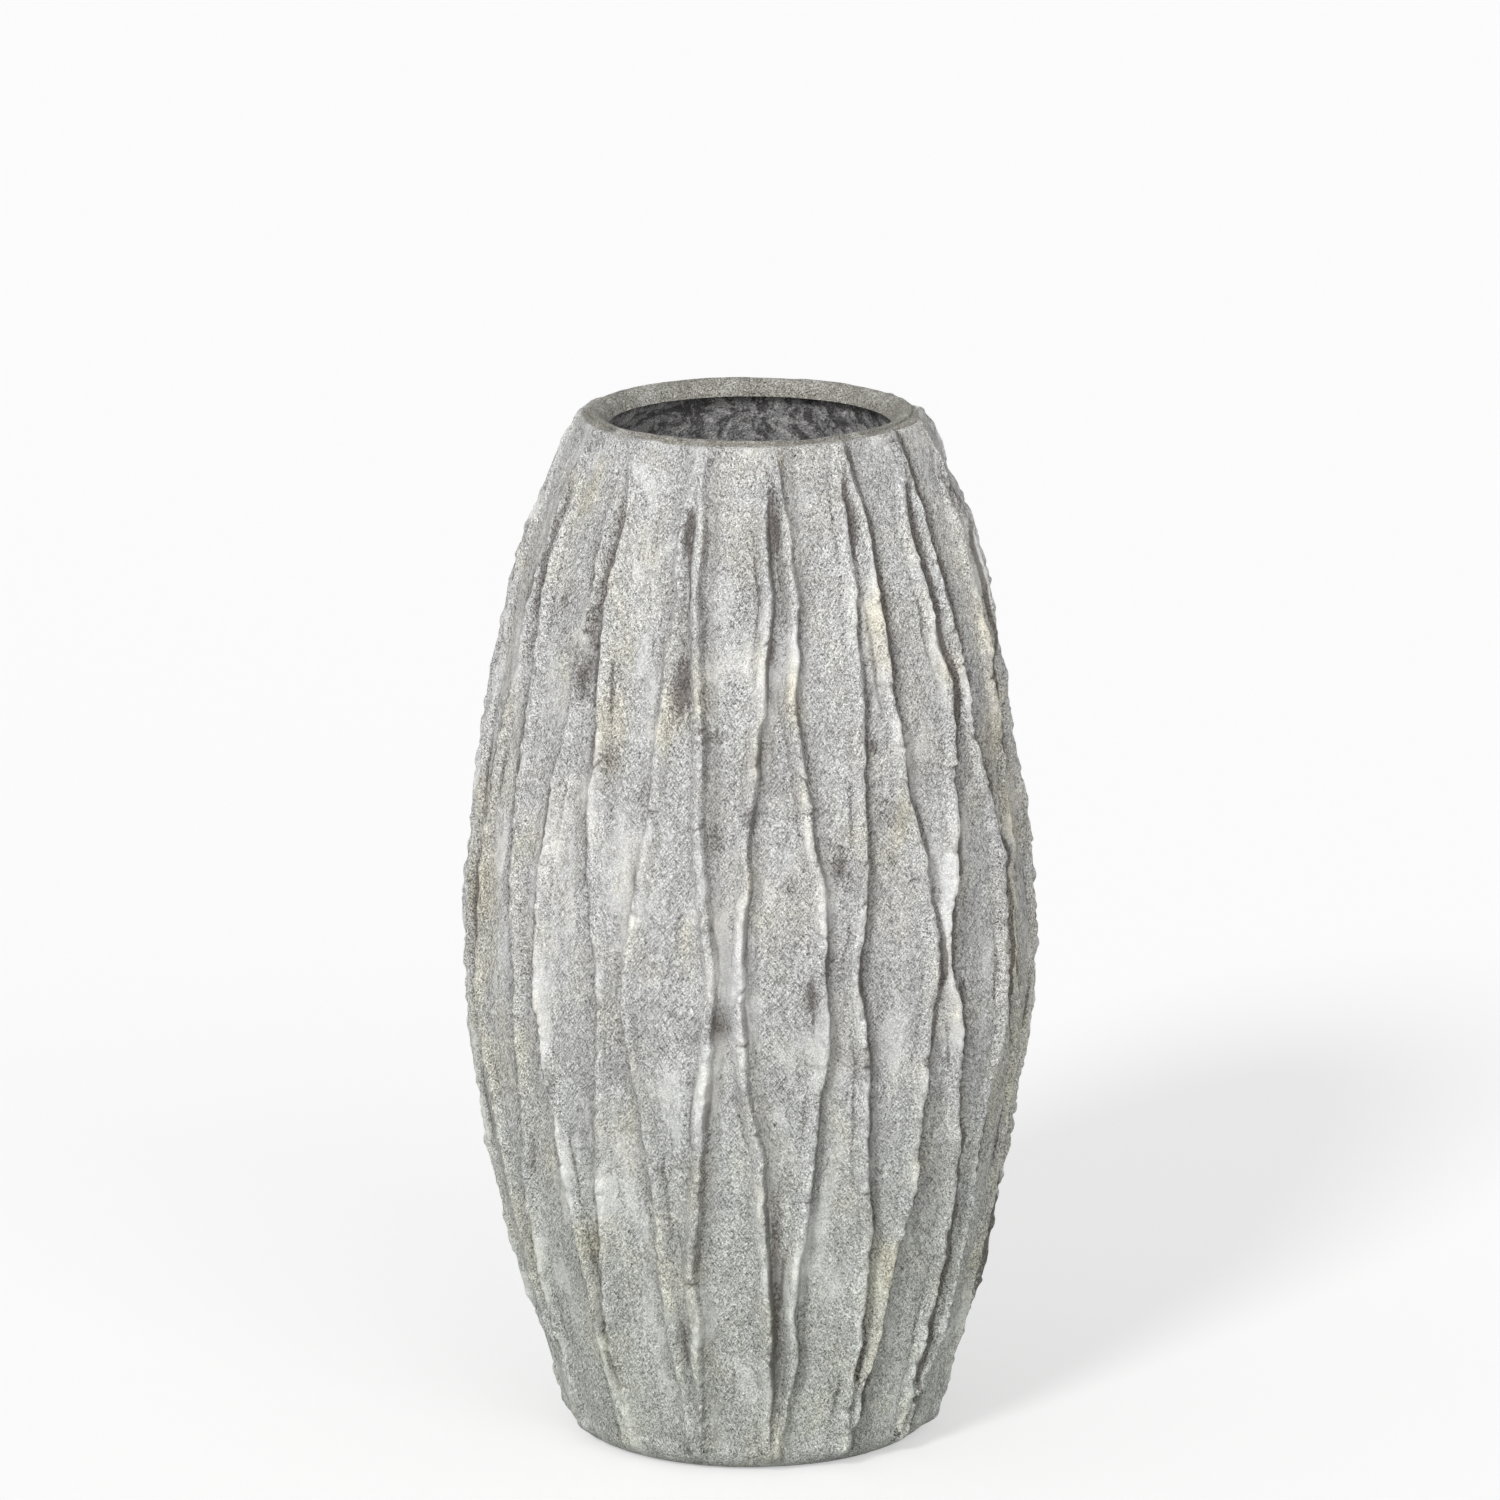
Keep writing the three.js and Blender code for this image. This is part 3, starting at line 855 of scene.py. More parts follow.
    def routes(self, heights: Array) -> Array:
        """Turn of each strip's crest: its CAD course with a hand's small stray.

        Args:
            heights: Rising heights.

        Returns:
            Turns of shape (strips, heights).
        """
        radius = self.barrel(heights)
        parted = self.eye_width * np.exp(-((heights - self.eye_place) / self.eye_half) ** 2)
        return np.array([
            smooth_curve(heights, line.heights, line.turns)
            + (parted if i % 2 else -parted) / radius
            + self.route_stray / radius * (
                0.7 * line.wander(heights, 30 * MM, Draw.BROAD_STRAY)
                + 0.4 * line.wander(heights, 10 * MM, Draw.SMALL_STRAY)
                + 0.3 * line.wander(heights, 5 * MM, Draw.FINE_STRAY)
            )
            for i, line in enumerate(self.lines)
        ])

    def rises(self, heights: Array) -> Array:
        """Height of each strip's crest, uneven along its length and fading at both ends.

        Args:
            heights: Rising heights.

        Returns:
            Crest heights of shape (strips, heights).
        """
        ends = ramp(heights, self.foot_fade) * ramp(heights, self.top_fade)
        upper = heights > self.stations.mean()
        least = [np.where(upper, rise, self.foot_rise) for rise in self.top_rise]
        rises = []
        for i, line in enumerate(self.lines):
            rise = np.maximum(smooth_curve(heights, line.heights, line.rises), least[i % 2]) * ends
            rise *= self.rise_share + 0.2 * line.wander(heights, 55 * MM, Draw.BROAD_RISE)
            rise *= 1 + 0.14 * line.wander(heights, 17 * MM, Draw.SMALL_RISE)
            for joint in JOINTS:
                if joint.node == line.node:
                    rise *= joint.kept(heights)
            lapped = ramp(line.turn, self.high_turns) * ramp(line.turn, self.low_turns)
            rises.append(rise * (1 + self.lap_rise * lapped if line.steep > 0 else self.left_rise))
        return np.array(rises)

    def raised(self, rise: Array) -> Array:
        """Share of its full marks that a strip of this height has."""
        return np.clip(rise / self.full_rise, 0, 1)

    def leaves(self, turns: Array, heights: Array) -> Iterator[tuple[Array, Array]]:
        """Width of each leaf, and how far points lie across it.

        Args:
            turns: Turns of shape (heights, columns).
            heights: Rising heights.

        Yields:
            Width at each height, and a share of the turns' shape: 0 on the left strip, 1 on the right.
        """
        radius = self.barrel(heights)
        routes = self.routes(heights)
        for left, right in zip(routes[0::2], routes[1::2]):
            yield (right - left) * radius, apart(turns, left[:, None]) / (right - left)[:, None]

    def ridges(self, turns: Array, heights: Array) -> tuple[Array, Array, Array, Array]:
        """Strips as one surface, with the grooves and creases beside them.

        The surface is the fourth root of the sum of the strips' heights to the fourth power. Across
        a strip the height is a flat-topped bell for the crest and a wider bell for the smear beside
        it, both narrower on its steep side. Leaf tips are filled up by their tongues.

        Args:
            turns: Turns of shape (heights, columns).
            heights: Rising heights.

        Returns:
            Height over the barrel, and shares of a crest, a groove and a crease, all of the turns' shape.
        """
        radius = self.barrel(heights)[:, None]
        routes, rises = self.routes(heights), self.rises(heights)
        gaps = np.repeat(routes[1::2] - routes[0::2], 2, axis=0) * radius[:, 0]
        aways = [
            line.steep * apart(turns, route[:, None]) * radius for line, route in zip(self.lines, routes)
        ]
        total, crests, grooves, creases = np.zeros((4, *turns.shape))
        for line, away, gap, rise in zip(self.lines, aways, gaps, rises):
            width = 1 + self.width_share * line.wander(heights, 24 * MM, Draw.WIDTH)
            width *= np.clip(gap / self.tip_gap, self.tip_width, 1)
            lap = ramp(line.turn, self.lap_turns) if line.steep > 0 else 0.0
            crest_half = np.where(away > 0, *self.crest_half[::-1])
            toe_half = np.where(away > 0, self.toe_half[1], self.toe_half[0] + self.lap_spread * lap)
            toe_share = self.toe_share + self.lap_share * lap
            crest = np.exp(-(np.abs(away) / (width[:, None] * crest_half)) ** self.crest_power)
            toe = np.exp(-(away / toe_half) ** 2)
            total += (rise[:, None] * ((1 - toe_share) * crest + toe_share * toe)) ** 4
            pale = 0.8 + 0.4 * line.wander(heights, 34 * MM, Draw.PALE_CREST)
            crests = np.maximum(crests, crest * (self.raised(rise) * pale)[:, None])
        height = (total + self.tongues(turns, heights) ** 4) ** 0.25
        for line, away, rise in zip(self.lines, aways, rises):
            groove, crease = self.edges(line, away, rise[:, None], height, heights)
            grooves = np.maximum(grooves, groove)
            creases = np.maximum(creases, crease)
        return height, crests, grooves * open_share(height), creases

    def edges(
        self, line: StripLine, away: Array, rise: Array, height: Array, heights: Array
    ) -> tuple[Array, Array]:
        """Groove and crease beside one strip.

        The groove is a bell beyond the strip's steep side. The crease is a flat-topped line at the
        foot of that side, or past what the strip hides from the front: the tangent of its turn times
        its height over the surface there. A fainter crease comes and goes along the gentle side.

        Args:
            line: The strip.
            away: Distance from its crest, positive on its steep side.
            rise: Height of its crest, of shape (heights, 1).
            height: Height of all strips as one surface.
            heights: Rising heights.

        Returns:
            Shares of a groove and a crease, both of the distance's shape.
        """
        sideways = abs(line.turn)
        right = line.steep > 0
        spread = 1 + self.side_spread * ramp(sideways, self.side_turns)
        place = self.groove_place * (0.6 + 0.4 * spread)
        groove = np.exp(-((away - place) / (self.groove_half * (0.5 + 0.5 * spread))) ** 2)

        lean = min(sideways, self.crease_most) * float(ramp(sideways, self.hiding_turns))
        turned = ramp(lean, self.lap_turns)
        start = self.crease_start[0] + (self.crease_start[1] - self.crease_start[0]) * turned
        hidden = self.hiding_share * math.tan(lean) * np.clip(rise - 0.5 * height, 0, None)
        seen = self.crease_margin * (1 / math.cos(lean) - 1)
        reach = np.maximum(start, self.crease_reach + hidden + seen)
        before = np.exp(-(np.minimum(away - reach + self.crease_width, 0) / self.crease_half) ** 2)
        after = np.exp(-(np.maximum(away - reach, 0) / (self.crease_half / math.cos(lean))) ** 2)
        broken = 0.75 + 0.35 * line.wander(heights, 28 * MM, Draw.BROKEN_CREASE)[:, None]
        strength = self.front_crease + (1 - self.front_crease) * turned
        crease = before * after * broken * strength * (1 if right else self.left_crease)
        shy = self.gentle_crease * np.clip(line.wander(heights, 40 * MM, Draw.GENTLE_CREASE), 0, 1)[:, None]
        crease += shy * np.exp(-((away + self.gentle_place) / self.gentle_half) ** 2)
        return groove * self.raised(rise) * (1 if right else self.left_groove), crease * self.raised(rise)

    def tongues(self, turns: Array, heights: Array) -> Array:
        """Leaf tips where the two strips are smeared into one: flat from crest to crest.

        Args:
            turns: Turns of shape (heights, columns).
            heights: Rising heights.

        Returns:
            Height in metres, of the turns' shape.
        """
        rises = self.rises(heights)
        height = np.zeros_like(turns)
        for (gap, across), low, high in zip(self.leaves(turns, heights), rises[0::2], rises[1::2]):
            inside = ease(8 * across) * ease(8 * (1 - across))
            slope = low[:, None] * (1 - across) + high[:, None] * across
            filled = self.tongue_share * ramp(gap, self.tongue_gap)
            height = np.maximum(height, filled[:, None] * inside * slope)
        return height

    def hollows(self, turns: Array, heights: Array) -> Array:
        """How far each leaf sinks between its strips, from 0 to 1.

        Across the leaf it is a parabola that is 0 on both strips. Along the leaf it is a bell of
        the leaf's width, so that it is strongest just inside both tips.

        Args:
            turns: Turns of shape (heights, columns).
            heights: Rising heights.

        Returns:
            The share of the full depth, of the turns' shape.
        """
        deepest = np.zeros_like(turns)
        for gap, across in self.leaves(turns, heights):
            narrow = np.exp(-((gap - self.hollow_gap) / self.hollow_spread) ** 2)
            narrow *= 1 - ramp(gap, self.tongue_gap)
            inside = np.clip(4 * across * (1 - across), 0.0, 1.0)
            deepest = np.maximum(deepest, inside * narrow[:, None])
        ends = ramp(heights, self.hollow_foot) * ramp(heights, self.hollow_top)
        return deepest * ends[:, None]

    def hand(self, turns: Array, heights: Array) -> Array:
        """Unevenness of the wall: broad swells, finger dents and slanting tool marks.

        Args:
            turns: Turns of shape (heights, columns).
            heights: Rising heights.

        Returns:
            Height in metres, of the turns' shape.
        """
        level = heights[:, None]
        slant = 3.2 * level
        return (
            1.0 * MM * uneven(turns, level, 52 * MM, 95 * MM, 11)
            + 0.6 * MM * uneven(turns, level, 19 * MM, 42 * MM, 12)
            + 0.35 * MM * uneven(turns + slant, level, 9 * MM, 22 * MM, 13)
            + 0.35 * MM * uneven(turns - slant, level, 8 * MM, 20 * MM, 14)
        )

    def clay(self, turns: Array, heights: Array) -> Array:
        """Height of the clay over the bare barrel: strips and hand marks less grooves, hollows and dents.

        Args:
            turns: Turns of shape (heights, columns).
            heights: Rising heights.

        Returns:
            Height in metres, of the turns' shape.
        """
        height, _, grooves, creases = self.ridges(turns, heights)
        pressed = self.groove_depth * grooves + self.crease_depth * creases * open_share(height)
        sunk = self.hollow_depth * self.hollows(turns, heights)
        dented = smudged(DENTS, turns, heights[:, None]) * MM
        return height + self.hand(turns, heights) - pressed - sunk - dented

    def marks(self, turns: Array, heights: Array) -> Array:
        """Colour marks of the clay: crest, stain with painted shade, ochre and groove, each about 0 to 1.

        Crests and grooves follow the strips; the groove darkens the wash partly as painted shade. The stain
        mark is painted shade along the creases, darker in some leaf hollows, upright smears of stain and
        dark blots, two of them broad painted shade at the sides. Ochre lies in broad patches and in blots.

        Args:
            turns: Turns of shape (heights, columns).
            heights: Rising heights.

        Returns:
            Marks of shape (heights, columns, 4).
        """
        level = heights[:, None]
        _, crest, groove, crease = self.ridges(turns, heights)
        smear = np.clip(uneven(turns, level, 15 * MM, 55 * MM, 21) - 0.45, 0.0, 1.0)
        # How dark some leaf hollows get, at random
        hollow_darkness = 0.35 + 0.4 * uneven(turns, level, 60 * MM, 220 * MM, 23)
        # Stain mark: darker in some leaf hollows, upright smears of stain, and painted shade along the
        # creases
        stain = hollow_darkness * self.hollows(turns, heights) ** 1.5 + 0.5 * smear + self.crease_shade * crease
        # Dark blots: stains, and two broad ones of painted shade at the sides
        stain += self.blot_stain_and_shade * smudged(DARK_BLOTS, turns, level)
        ochre = np.clip(uneven(turns, level, 34 * MM, 70 * MM, 22) - 0.55, 0.0, 1.0)
        ochre += self.blot_ochre * smudged(OCHRE_BLOTS, turns, level)
        return np.stack((crest, stain, ochre, groove), axis=-1)


STRIP_HALF = 7.5 * MM          # half width of a strip with its pressed edges
STRIP_END = 6 * MM             # length over which a strip comes out of the wall at either end
STRIP_RUN_UP = 7 * MM          # how far it runs on up the rim's side
FULL_SHARE = 0.46              # a strip takes at most this share of the gap to its neighbour


def strip_gaps(routes: Array) -> Array:
    """Angle from each strip to the next one on its right."""
    return np.vstack((routes[1:], routes[:1] + math.tau)) - routes


def strip_reach(gaps: Array) -> Array:
    """Half width of a strip towards a neighbour: its own, or a share of a narrow gap."""
    return np.minimum(STRIP_HALF, FULL_SHARE * gaps)


def strip_levels() -> Pair:
    """Lowest and highest point of the strips."""
    low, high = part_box(strip_node(1, Side.LEFT))
    return low.z, high.z + STRIP_RUN_UP


def strip_ends(heights: Array) -> Array:
    """1 along the strips, falling softly to 0 at both ends."""
    low, high = strip_levels()
    return ramp(heights, (low, low + STRIP_END)) * ramp(heights, (high, high - STRIP_END))


@dataclass
class BodyWall:
    """Barrel wall: a thick shell whose columns follow the strips, with its outside from the relief."""

    relief: Relief
    thickness: float = 12 * MM
    rows: int = 190
    inner_rows: int = 8
    edge_round: float = 4 * MM            # rounding of the clay's upper edge against the rim
    edge_rows: int = 6
    tuck: float = 3 * MM                  # how far the shell then goes down inside the rim
    skirt: Pair = (1.2 * MM, 5 * MM)      # its lowest ring, behind the slab's edge: in and down
    under_shares: tuple[float, ...] = (0.0, 0.7, 1.0)   # columns under and at a strip's edge
    under_ends: Pair = (0.9, 0.5)         # shares of a strip's reach over which the wall goes flat under it
    open_columns: int = 11                # columns between two strips
    crowding: float = 0.75                # how much closer they stand beside the strips

    def columns(self, heights: Array) -> tuple[Array, Array]:
        """Turns of the wall's columns, and how far each lies under a strip.

        Args:
            heights: Rising heights.

        Returns:
            Turns and cover shares, both of shape (heights, columns).
        """
        radius = self.relief.barrel(heights)
        routes = self.relief.routes(heights)
        gaps = strip_gaps(routes) * radius
        reach = strip_reach(gaps)[..., None]
        gaps = gaps[..., None]
        under = np.array(self.under_shares)
        between = np.linspace(0, 1, self.open_columns + 2)[1:-1]
        between = between - self.crowding * np.sin(math.tau * between) / math.tau
        away = np.concatenate((
            under * reach,
            reach + (gaps - 2 * reach) * between,
            gaps - reach * under[:0:-1],
        ), axis=-1)
        turns = routes[..., None] + away / radius[:, None]
        nearest = np.minimum(away, gaps - away) / reach
        cover = ramp(nearest, self.under_ends) * strip_ends(heights)[:, None]
        by_height = (len(heights), -1)
        return turns.transpose(1, 0, 2).reshape(by_height), cover.transpose(1, 0, 2).reshape(by_height)

    def build(self, finish: bpy.types.Material) -> None:
        """Makes the wall: outside up, over the top under the rim, inside down to the foot.

        Args:
            finish: Its material.
        """
        foot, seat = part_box("base_slab")[1].z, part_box("rim_coil")[0].z
        top = seat + self.relief.clay_top
        heights = np.linspace(foot, top, self.rows)
        turns, cover = self.columns(heights)
        clay = self.relief.clay(turns, heights) * (1 - cover)
        outside = on_barrel(turns, self.relief.barrel(heights)[:, None] + clay, heights[:, None])
        bend = np.linspace(0, math.pi / 2, self.edge_rows + 1)[1:, None]
        edge_round = self.edge_round * (1 + 0.2 * uneven(turns[-1], np.zeros(1), 22 * MM, 60 * MM, 15))
        edge_radius = self.relief.barrel(heights[-1:]) + clay[-1] - edge_round * (1 - np.cos(bend))
        edge = on_barrel(turns[-1], edge_radius, top + edge_round * np.sin(bend))
        tucked = on_barrel(turns[-1], edge_radius[-1] - self.tuck, top)
        seats = np.linspace(seat, foot, self.inner_rows)
        picks = np.searchsorted(heights, seats).clip(0, self.rows - 1)
        inner_radius = self.relief.barrel(seats) - self.thickness
        inside = on_barrel(turns[picks], inner_radius[:, None], seats[:, None])
        skirt_radius = self.relief.barrel(heights[:1]) + clay[0] - self.skirt[0]
        skirt = on_barrel(turns[0], skirt_radius, foot - self.skirt[1])
        rings = np.concatenate((skirt[None], outside, edge, tucked[None], inside))
        marks = self.relief.marks(turns, heights)
        edge_marks = np.repeat(marks[-1:], self.edge_rows + 1, axis=0)
        marks = np.concatenate((marks[:1], marks, edge_marks, marks[picks]))
        settle(closed_skin("wall", rings, marks, True), "body_wall", Slot.STONEWARE, finish)


@dataclass
class ClayStrips:
    """The thirty strips: each a closed body with its bed on the wall and its top on the relief."""

    relief: Relief
    rows: int = 480
    top_columns: int = 23
    skirt: Pair = (0.6 * MM, 2.0 * MM)         # columns past the edge
    skirt_drop: Pair = (0.04 * MM, 0.7 * MM)   # how far they go into the wall
    edge_lift: float = 0.06 * MM
    edge_ends: Pair = (1.0, 0.8)               # shares of the half width over which that lift begins
    bed_lift: float = 0.15 * MM
    bed_columns: int = 5
    end_drop: float = 1.4 * MM
    nick_count: int = 14
    nick_levels: Pair = (40 * MM, 670 * MM)
    nick_slopes: Pair = (-1.1, 1.1)
    nick_shares: Pair = (0.2, 1.0)
    nick_bend: float = 25
    nick_depth: float = 2.2 * MM
    nick_half: float = 1.2 * MM
    nick_reach: float = 5 * MM                 # half length of a nick across the strip
    joint_slope: float = 0.1
    crack_stain: float = 0.7
    lump_heights: Pair = (0.9 * MM, 0.8 * MM)  # lumps of a fingertip and of a grain of grog
    lump_reach: float = 5.5 * MM

    def nicks(self, line: StripLine, away: Array, heights: Array) -> Array:
        """Small cracks and joints across a strip: slanting grooves, deepest on the crest.

        Args:
            line: The strip.
            away: Distance from the crest, of shape (heights, columns).
            heights: Rising heights.

        Returns:
            Depth of the cracks in shares of a full crack, of the distance's shape.
        """
        draw = np.random.default_rng(line.seeded(Draw.NICKS))
        spans = (self.nick_levels, self.nick_slopes, self.nick_shares)
        cracks = []
        for _ in range(self.nick_count):
            place, slope, share = (draw.uniform(*span) for span in spans)
            cracks.append((place, slope, self.nick_bend, share))
        cracks += [
            (joint.height * MM, self.joint_slope, joint.bend, joint.depth)
            for joint in JOINTS if joint.node == line.node
        ]
        depth = np.zeros_like(away)
        for place, slope, bend, share in cracks:
            off = heights[:, None] - place - slope * away - bend * away ** 2
            depth += share * np.exp(-(off / self.nick_half) ** 2)
        return depth * np.exp(-(away / self.nick_reach) ** 2)

    def lumps(self, line: StripLine, away: Array, heights: Array) -> Array:
        """Pinched unevenness of the crest: lumps of about a fingertip and of a grain of grog.

        Args:
            line: The strip.
            away: Distance from the crest, of shape (heights, columns).
            heights: Rising heights.

        Returns:
            Height in metres, of the distance's shape.
        """
        turns = away / BELLY
        level = heights[:, None]
        broad = self.lump_heights[0] * uneven(turns, level, 6 * MM, 8 * MM, line.seeded(Draw.BROAD_LUMPS))
        fine = self.lump_heights[1] * uneven(turns, level, 3 * MM, 4 * MM, line.seeded(Draw.SMALL_LUMPS))
        return (broad + fine) * np.exp(-(away / self.lump_reach) ** 4)

    def build(self, finish: bpy.types.Material) -> None:
        """Makes all strips: across each the relief from skirt to skirt, closed by a bed underneath.

        Args:
            finish: Their material.
        """
        heights = np.linspace(*strip_levels(), self.rows)
        level = heights[:, None]
        radius = self.relief.barrel(heights)[:, None]
        routes = self.relief.routes(heights)
        reach = strip_reach(strip_gaps(routes) * radius[:, 0])
        ends = strip_ends(heights)[:, None]
        shares = np.linspace(-1, 1, self.top_columns)
        lift = self.edge_lift * ramp(np.abs(shares), self.edge_ends)
        skirt, drop = np.array(self.skirt), np.array(self.skirt_drop)
        press = np.r_[-drop[::-1], lift, -drop] - self.end_drop * (1 - ends)
        bed_shares = np.linspace(1, 0, self.bed_columns + 2)[1:-1]
        for i, line in enumerate(self.relief.lines):
            left, right = reach[i - 1][:, None], reach[i][:, None]
            over = np.where(shares < 0, shares * left, shares * right)
            away = np.hstack((-left - skirt[::-1], over, right + skirt))
            turns = routes[i][:, None] + away / radius
            cracks = ends * self.nicks(line, away, heights)
            clay = self.relief.clay(turns, heights) + press
            clay += ends * self.lumps(line, away, heights) - self.nick_depth * cracks
            top = on_barrel(turns, radius + clay, level)
            bed_turns = turns[:, :1] + (turns[:, -1:] - turns[:, :1]) * bed_shares
            lowest = np.minimum(self.bed_lift, clay.min(axis=1, keepdims=True) - 2 * self.bed_lift)
            bed = on_barrel(bed_turns, radius + lowest, level)
            marks = self.relief.marks(turns, heights)
            marks[..., 1] += self.crack_stain * cracks
            marks = np.concatenate((marks, np.repeat(marks[:, :1], self.bed_columns, axis=1)), axis=1)
            name = line.node.replace("leaf", "clay_leaf")
            piece = closed_skin(name, np.concatenate((top, bed), axis=1), marks, False)
            settle(piece, line.node, Slot.STRIP_CLAY, finish)


@dataclass
class BaseSlab:
    """Base slab: flat underside, and a rounded edge on which the strips run out."""

    relief: Relief
    round_width: float = 22 * MM
    edge_rows: int = 18
    columns: int = 420
    inner_shares: tuple[float, ...] = (0.25, 0.5, 0.75, 0.95)   # rings inside the edge, below and on top
    foot_stray: float = 0.8 * MM
    overlap: float = 6 * MM       # how far it reaches up behind the wall's clay
    under_wall: float = 0.5 * MM

    def build(self, finish: bpy.types.Material) -> None:
        """Makes the slab: rings out along the floor, up a quarter ellipse, and in behind the wall.

        Args:
            finish: Its material.
        """
        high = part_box("base_slab")[1]
        turns = np.linspace(0, math.tau, self.columns, endpoint=False)
        flat = high.x - self.round_width
        angles = np.linspace(-math.pi / 2, 0, self.edge_rows)
        edge_radius = flat + self.round_width * np.cos(angles)
        edge_height = high.z + high.z * np.sin(angles)
        grown = ease(angles + math.pi / 2)[:, None]
        many = np.repeat(turns[None], self.edge_rows, axis=0)
        clay = self.relief.clay(many, edge_height) * grown
        clay += self.foot_stray * (1 - grown) * uneven(turns, np.zeros(1), 45 * MM, 60 * MM, 31)
        halves = np.array([0.5, 1.0])
        above = high.z + halves * self.overlap
        hidden = self.relief.barrel(above)[:, None] + self.relief.clay(many[:2], above)
        hidden -= self.under_wall * halves[:, None]
        inner = np.array(self.inner_shares)[:, None] * flat
        floor = on_barrel(turns, inner, 0.0)
        edge = on_barrel(turns, edge_radius[:, None] + clay, edge_height[:, None])
        tucked = on_barrel(turns, hidden, above[:, None])
        over = on_barrel(turns, inner[::-1], high.z)
        rings = np.concatenate((floor, edge, tucked, over))
        marks = self.relief.marks(many, edge_height)
        first = np.repeat(marks[:1], len(floor), axis=0)
        last = np.repeat(marks[-1:], len(tucked) + len(over), axis=0)
        marks = np.concatenate((first, marks, last))
        settle(closed_skin("base", rings, marks, False), "base_slab", Slot.STONEWARE, finish)


@dataclass
class RimCoil:
    """Rim coil: rounded outside, top rising to a crest, mouth face slanting in to a sharp lip."""

    relief: Relief
    under_clay: float = 2 * MM    # how far its side lies under the clay
    lip: float = 20 * MM          # side to the lip
    crest: float = 12 * MM        # side to the crest
    fall: float = 2.5 * MM        # crest down to the outer corner
    corner: float = 7 * MM
    corner_rise: float = 0.4 * MM
    edge: float = 5 * MM
    crown: Pair = (0.3 * MM, 0.5 * MM)   # the crest's curve is drawn up by the first, from the second below
    curve_rows: int = 12
    rows: int = 64
    columns: int = 420
    stray: float = 0.7 * MM
    seat_grip: float = 6 * MM     # height over which the stray grows from the seat
    sharp: float = math.radians(55)

    def outline(self, outer: float, seat: float, top: float) -> Array:
        """Closed outline as evenly spaced points of radius and height.

        Straight faces join two roundings, each a quadratic curve through its corner.

        Args:
            outer: Outside radius.
            seat: Height of the seat on the wall.
            top: Height of the crest.

        Returns:
            Points of shape (rows, 2), from the lip outwards and up.
        """
        t = np.linspace(0, 1, self.curve_rows)[:, None]
        shoulder = top - self.fall
        crest, lip = outer - self.crest, outer - self.lip
        drawn_up, below = self.crown

        def rounded(start: Pair, middle: Pair, end: Pair) -> Array:
            """Quadratic curve from start to end, drawn towards the middle."""
            ends = (1 - t) ** 2 * np.array(start) + t ** 2 * np.array(end)
            return ends + 2 * t * (1 - t) * np.array(middle)

        corner_end = (outer - self.corner, shoulder + self.corner_rise)
        mouth_start = (crest - self.edge, top - self.edge)
        points = np.vstack((
            [(lip, seat), (outer - self.edge, seat), (outer, seat)],
            rounded((outer, shoulder - self.corner), (outer, shoulder), corner_end),
            rounded((crest + self.edge, top - below), (crest, top + drawn_up), mouth_start),
            [(lip, seat)],
        ))
        run = np.r_[0, np.cumsum(np.hypot(*np.diff(points, axis=0).T))]
        even = np.linspace(0, run[-1], self.rows, endpoint=False)
        return np.stack([np.interp(even, run, points[:, i]) for i in range(2)], axis=-1)

    def build(self, finish: bpy.types.Material) -> None:
        """Makes the rim: its outline turned about the axis, moved outwards and up by a hand's stray.

        Args:
            finish: Its material.
        """
        low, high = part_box("rim_coil")
        outline = self.outline(high.x - self.under_clay, low.z, high.z)
        turns = np.linspace(0, math.tau, self.columns, endpoint=False)[None]
        radius, height = outline[:, :1], outline[:, 1:]
        free = self.stray * ease((height - low.z) / self.seat_grip)
        run = np.arange(self.rows)[:, None] * MM
        stray = uneven(turns, run, 70 * MM, 200 * MM, 41) + 0.45 * uneven(turns, run, 16 * MM, 14 * MM, 42)
        sway = uneven(turns, run, 60 * MM, 200 * MM, 43) + 0.35 * uneven(turns, run, 14 * MM, 12 * MM, 44)
        points = on_barrel(turns, radius + free * stray, height + free * sway)
        piece = closed_skin("rim", points, None, True)
        piece.data.set_sharp_from_angle(angle=self.sharp)
        settle(piece, "rim_coil", Slot.RIM_CLAY, finish)


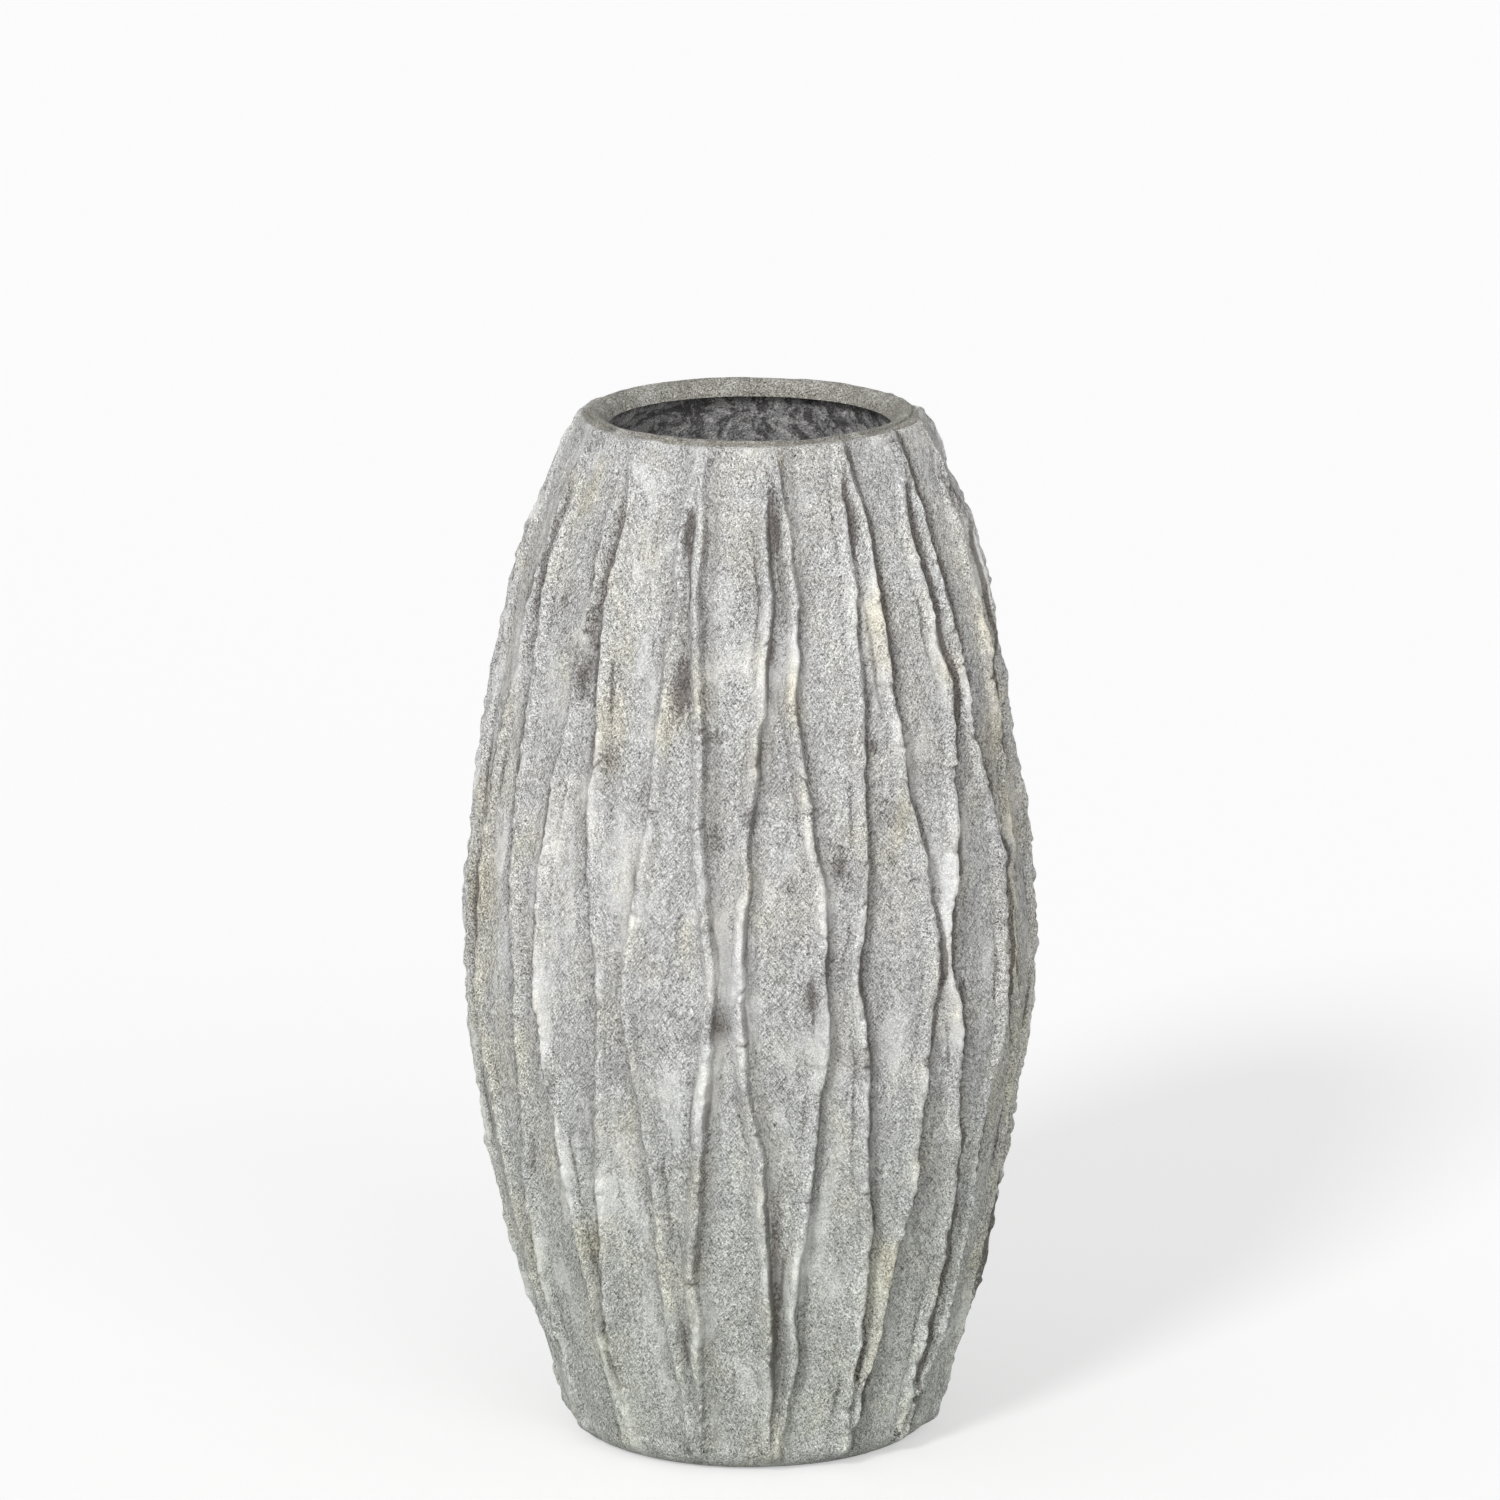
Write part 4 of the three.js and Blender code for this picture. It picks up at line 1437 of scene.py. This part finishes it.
@dataclass
class SealingCoat:
    """Sealing coat: a thin wiped skin over the floor and the inside of the wall."""

    relief: Relief
    joint: float = 0.3 * MM       # between the wall and the coat
    thickness: float = 2 * MM
    floor_rows: int = 14
    wall_rows: int = 120
    back_rows: int = 10
    columns: int = 320
    wipe: float = 0.55 * MM
    top_calm: float = 4 * MM      # the coat is even this far below its edge
    middle_calm: float = 20 * MM  # and this far around the floor's middle
    sharp: float = math.radians(55)

    def build(self, finish: bpy.types.Material) -> None:
        """Makes the coat: out over the floor, up the inside, over the edge and back underneath.

        Args:
            finish: Its material.
        """
        low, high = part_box("sealing_coat")
        floor = low.z + self.thickness
        turns = np.linspace(0, math.tau, self.columns, endpoint=False)[None]
        rise = np.linspace(floor, high.z, self.wall_rows)
        back_depth = BodyWall.thickness + self.joint
        inner = self.relief.barrel(rise) - back_depth - self.thickness
        back = np.linspace(high.z, low.z, self.back_rows)
        outer = self.relief.barrel(back) - back_depth
        spread = np.linspace(0, 1, self.floor_rows + 1)[1:-1] * inner[0]
        none, unseen = np.zeros_like(spread), np.zeros(len(back) + len(spread))
        radius = np.r_[spread, inner, outer, spread[::-1]][:, None]
        height = np.r_[none + floor, rise, back, none + low.z][:, None]
        run = np.r_[spread - inner[0], rise - floor, unseen][:, None]
        on_wall = np.r_[none, ease((high.z - rise) / self.top_calm), unseen][:, None]
        on_floor = np.r_[ease(spread / self.middle_calm), np.zeros_like(rise), unseen][:, None]
        wiped = uneven(turns + 6 * run, run, 30 * MM, 24 * MM, 51)
        wiped = self.wipe * (wiped + 0.5 * uneven(turns, run, 11 * MM, 9 * MM, 52))
        points = on_barrel(turns, radius + wiped * on_wall, height + np.abs(wiped) * on_floor)
        piece = closed_skin("coat", points, None, False)
        piece.data.set_sharp_from_angle(angle=self.sharp)
        settle(piece, "sealing_coat", Slot.SEALING_COAT, finish)


@dataclass(frozen=True)
class Lamp:
    """A far lamp: its name, its strength, where it stands and how many degrees it is across."""

    name: str
    strength: float
    place: Place
    softness: float

    def build(self) -> None:
        """Makes the lamp, looking at the origin."""
        lamp = bpy.data.lights.new(self.name, "SUN")
        lamp.energy = self.strength
        lamp.angle = math.radians(self.softness)
        piece = bpy.data.objects.new(self.name, lamp)
        piece.rotation_euler = Vector(self.place).to_track_quat("Z", "Y").to_euler()
        bpy.context.scene.collection.objects.link(piece)


@dataclass
class Studio:
    """Pale floor, soft light from both sides and a camera at the photograph's angle."""

    floor_half: float = 20.0
    floor_colour: Colour = (0.55, 0.55, 0.55)
    floor_glow: float = 0.48             # what the camera sees over the lit floor
    sky: float = 0.46
    lamps: tuple[Lamp, ...] = (
        Lamp("key", 1.68, (-0.85, -1.8, 1.3), 12.0),
        Lamp("left", 0.12, (-1.5, -0.8, 0.9), 60.0),
        Lamp("right", 0.72, (0.7, -1.6, 0.9), 40.0),
    )
    camera_place: Place = (0.0, -6.5, 2.025)
    camera_tilt: float = 76.5223         # degrees from straight down
    lens: float = 240.18
    sensor: float = 36.0

    def floor(self) -> None:
        """Makes the floor: a square that the camera sees as white where no shadow falls."""
        corner = self.floor_half
        mesh = bpy.data.meshes.new("floor")
        square = [(-corner, -corner, 0), (corner, -corner, 0), (corner, corner, 0), (-corner, corner, 0)]
        mesh.from_pydata(square, [], [(0, 1, 2, 3)])
        paint = Recipe("floor_paint")
        paint.shader.inputs["Base Color"].default_value = (*self.floor_colour, 1.0)
        paint.shader.inputs["Roughness"].default_value = 0.9
        paint.shader.inputs["Emission Color"].default_value = (1.0, 1.0, 1.0, 1.0)
        path = paint.node("ShaderNodeLightPath", {}).outputs
        seen = paint.sum(path["Is Camera Ray"], path["Is Glossy Ray"], path["Is Transmission Ray"])
        glow = paint.times(seen, self.floor_glow)
        paint.tree.links.new(glow, paint.shader.inputs["Emission Strength"])
        mesh.materials.append(paint.material)
        floor = bpy.data.objects.new("floor", mesh)
        bpy.context.scene.collection.objects.link(floor)

    def light(self) -> None:
        """Makes an even sky, white to the camera, and the lamps."""
        world = bpy.data.worlds.new("studio")
        world.use_nodes = True
        nodes, links = world.node_tree.nodes, world.node_tree.links
        path = nodes.new("ShaderNodeLightPath")
        strength = nodes.new("ShaderNodeMapRange")
        strength.inputs["To Min"].default_value = self.sky
        strength.inputs["To Max"].default_value = 1.0
        links.new(path.outputs["Is Camera Ray"], strength.inputs["Value"])
        links.new(strength.outputs[0], nodes["Background"].inputs["Strength"])
        nodes["Background"].inputs["Color"].default_value = (1.0, 1.0, 1.0, 1.0)
        bpy.context.scene.world = world
        for lamp in self.lamps:
            lamp.build()

    def camera(self) -> None:
        """Makes the camera and the plain view transform."""
        lens = bpy.data.cameras.new("camera")
        lens.lens = self.lens
        lens.sensor_width = self.sensor
        lens.clip_end = 100.0
        camera = bpy.data.objects.new("camera", lens)
        camera.location = self.camera_place
        camera.rotation_euler = (math.radians(self.camera_tilt), 0.0, 0.0)
        bpy.context.scene.collection.objects.link(camera)
        bpy.context.scene.camera = camera
        bpy.context.scene.view_settings.view_transform = "Standard"


def main() -> None:
    """Builds the studio and the vase, piece by piece."""
    logging.basicConfig(level=logging.INFO, format="%(name)s: %(message)s")
    studio = Studio()
    studio.camera()
    studio.light()
    studio.floor()
    relief = Relief()
    clay = ClayFinish()
    stoneware = clay.material("stoneware")
    BodyWall(relief).build(stoneware)
    BaseSlab(relief).build(stoneware)
    ClayStrips(relief).build(clay.material("strip_clay"))
    RimCoil(relief).build(RimFinish().material("rim_clay"))
    SealingCoat(relief).build(CoatFinish().material("sealing_coat"))


if __name__ == "__main__":
    main()
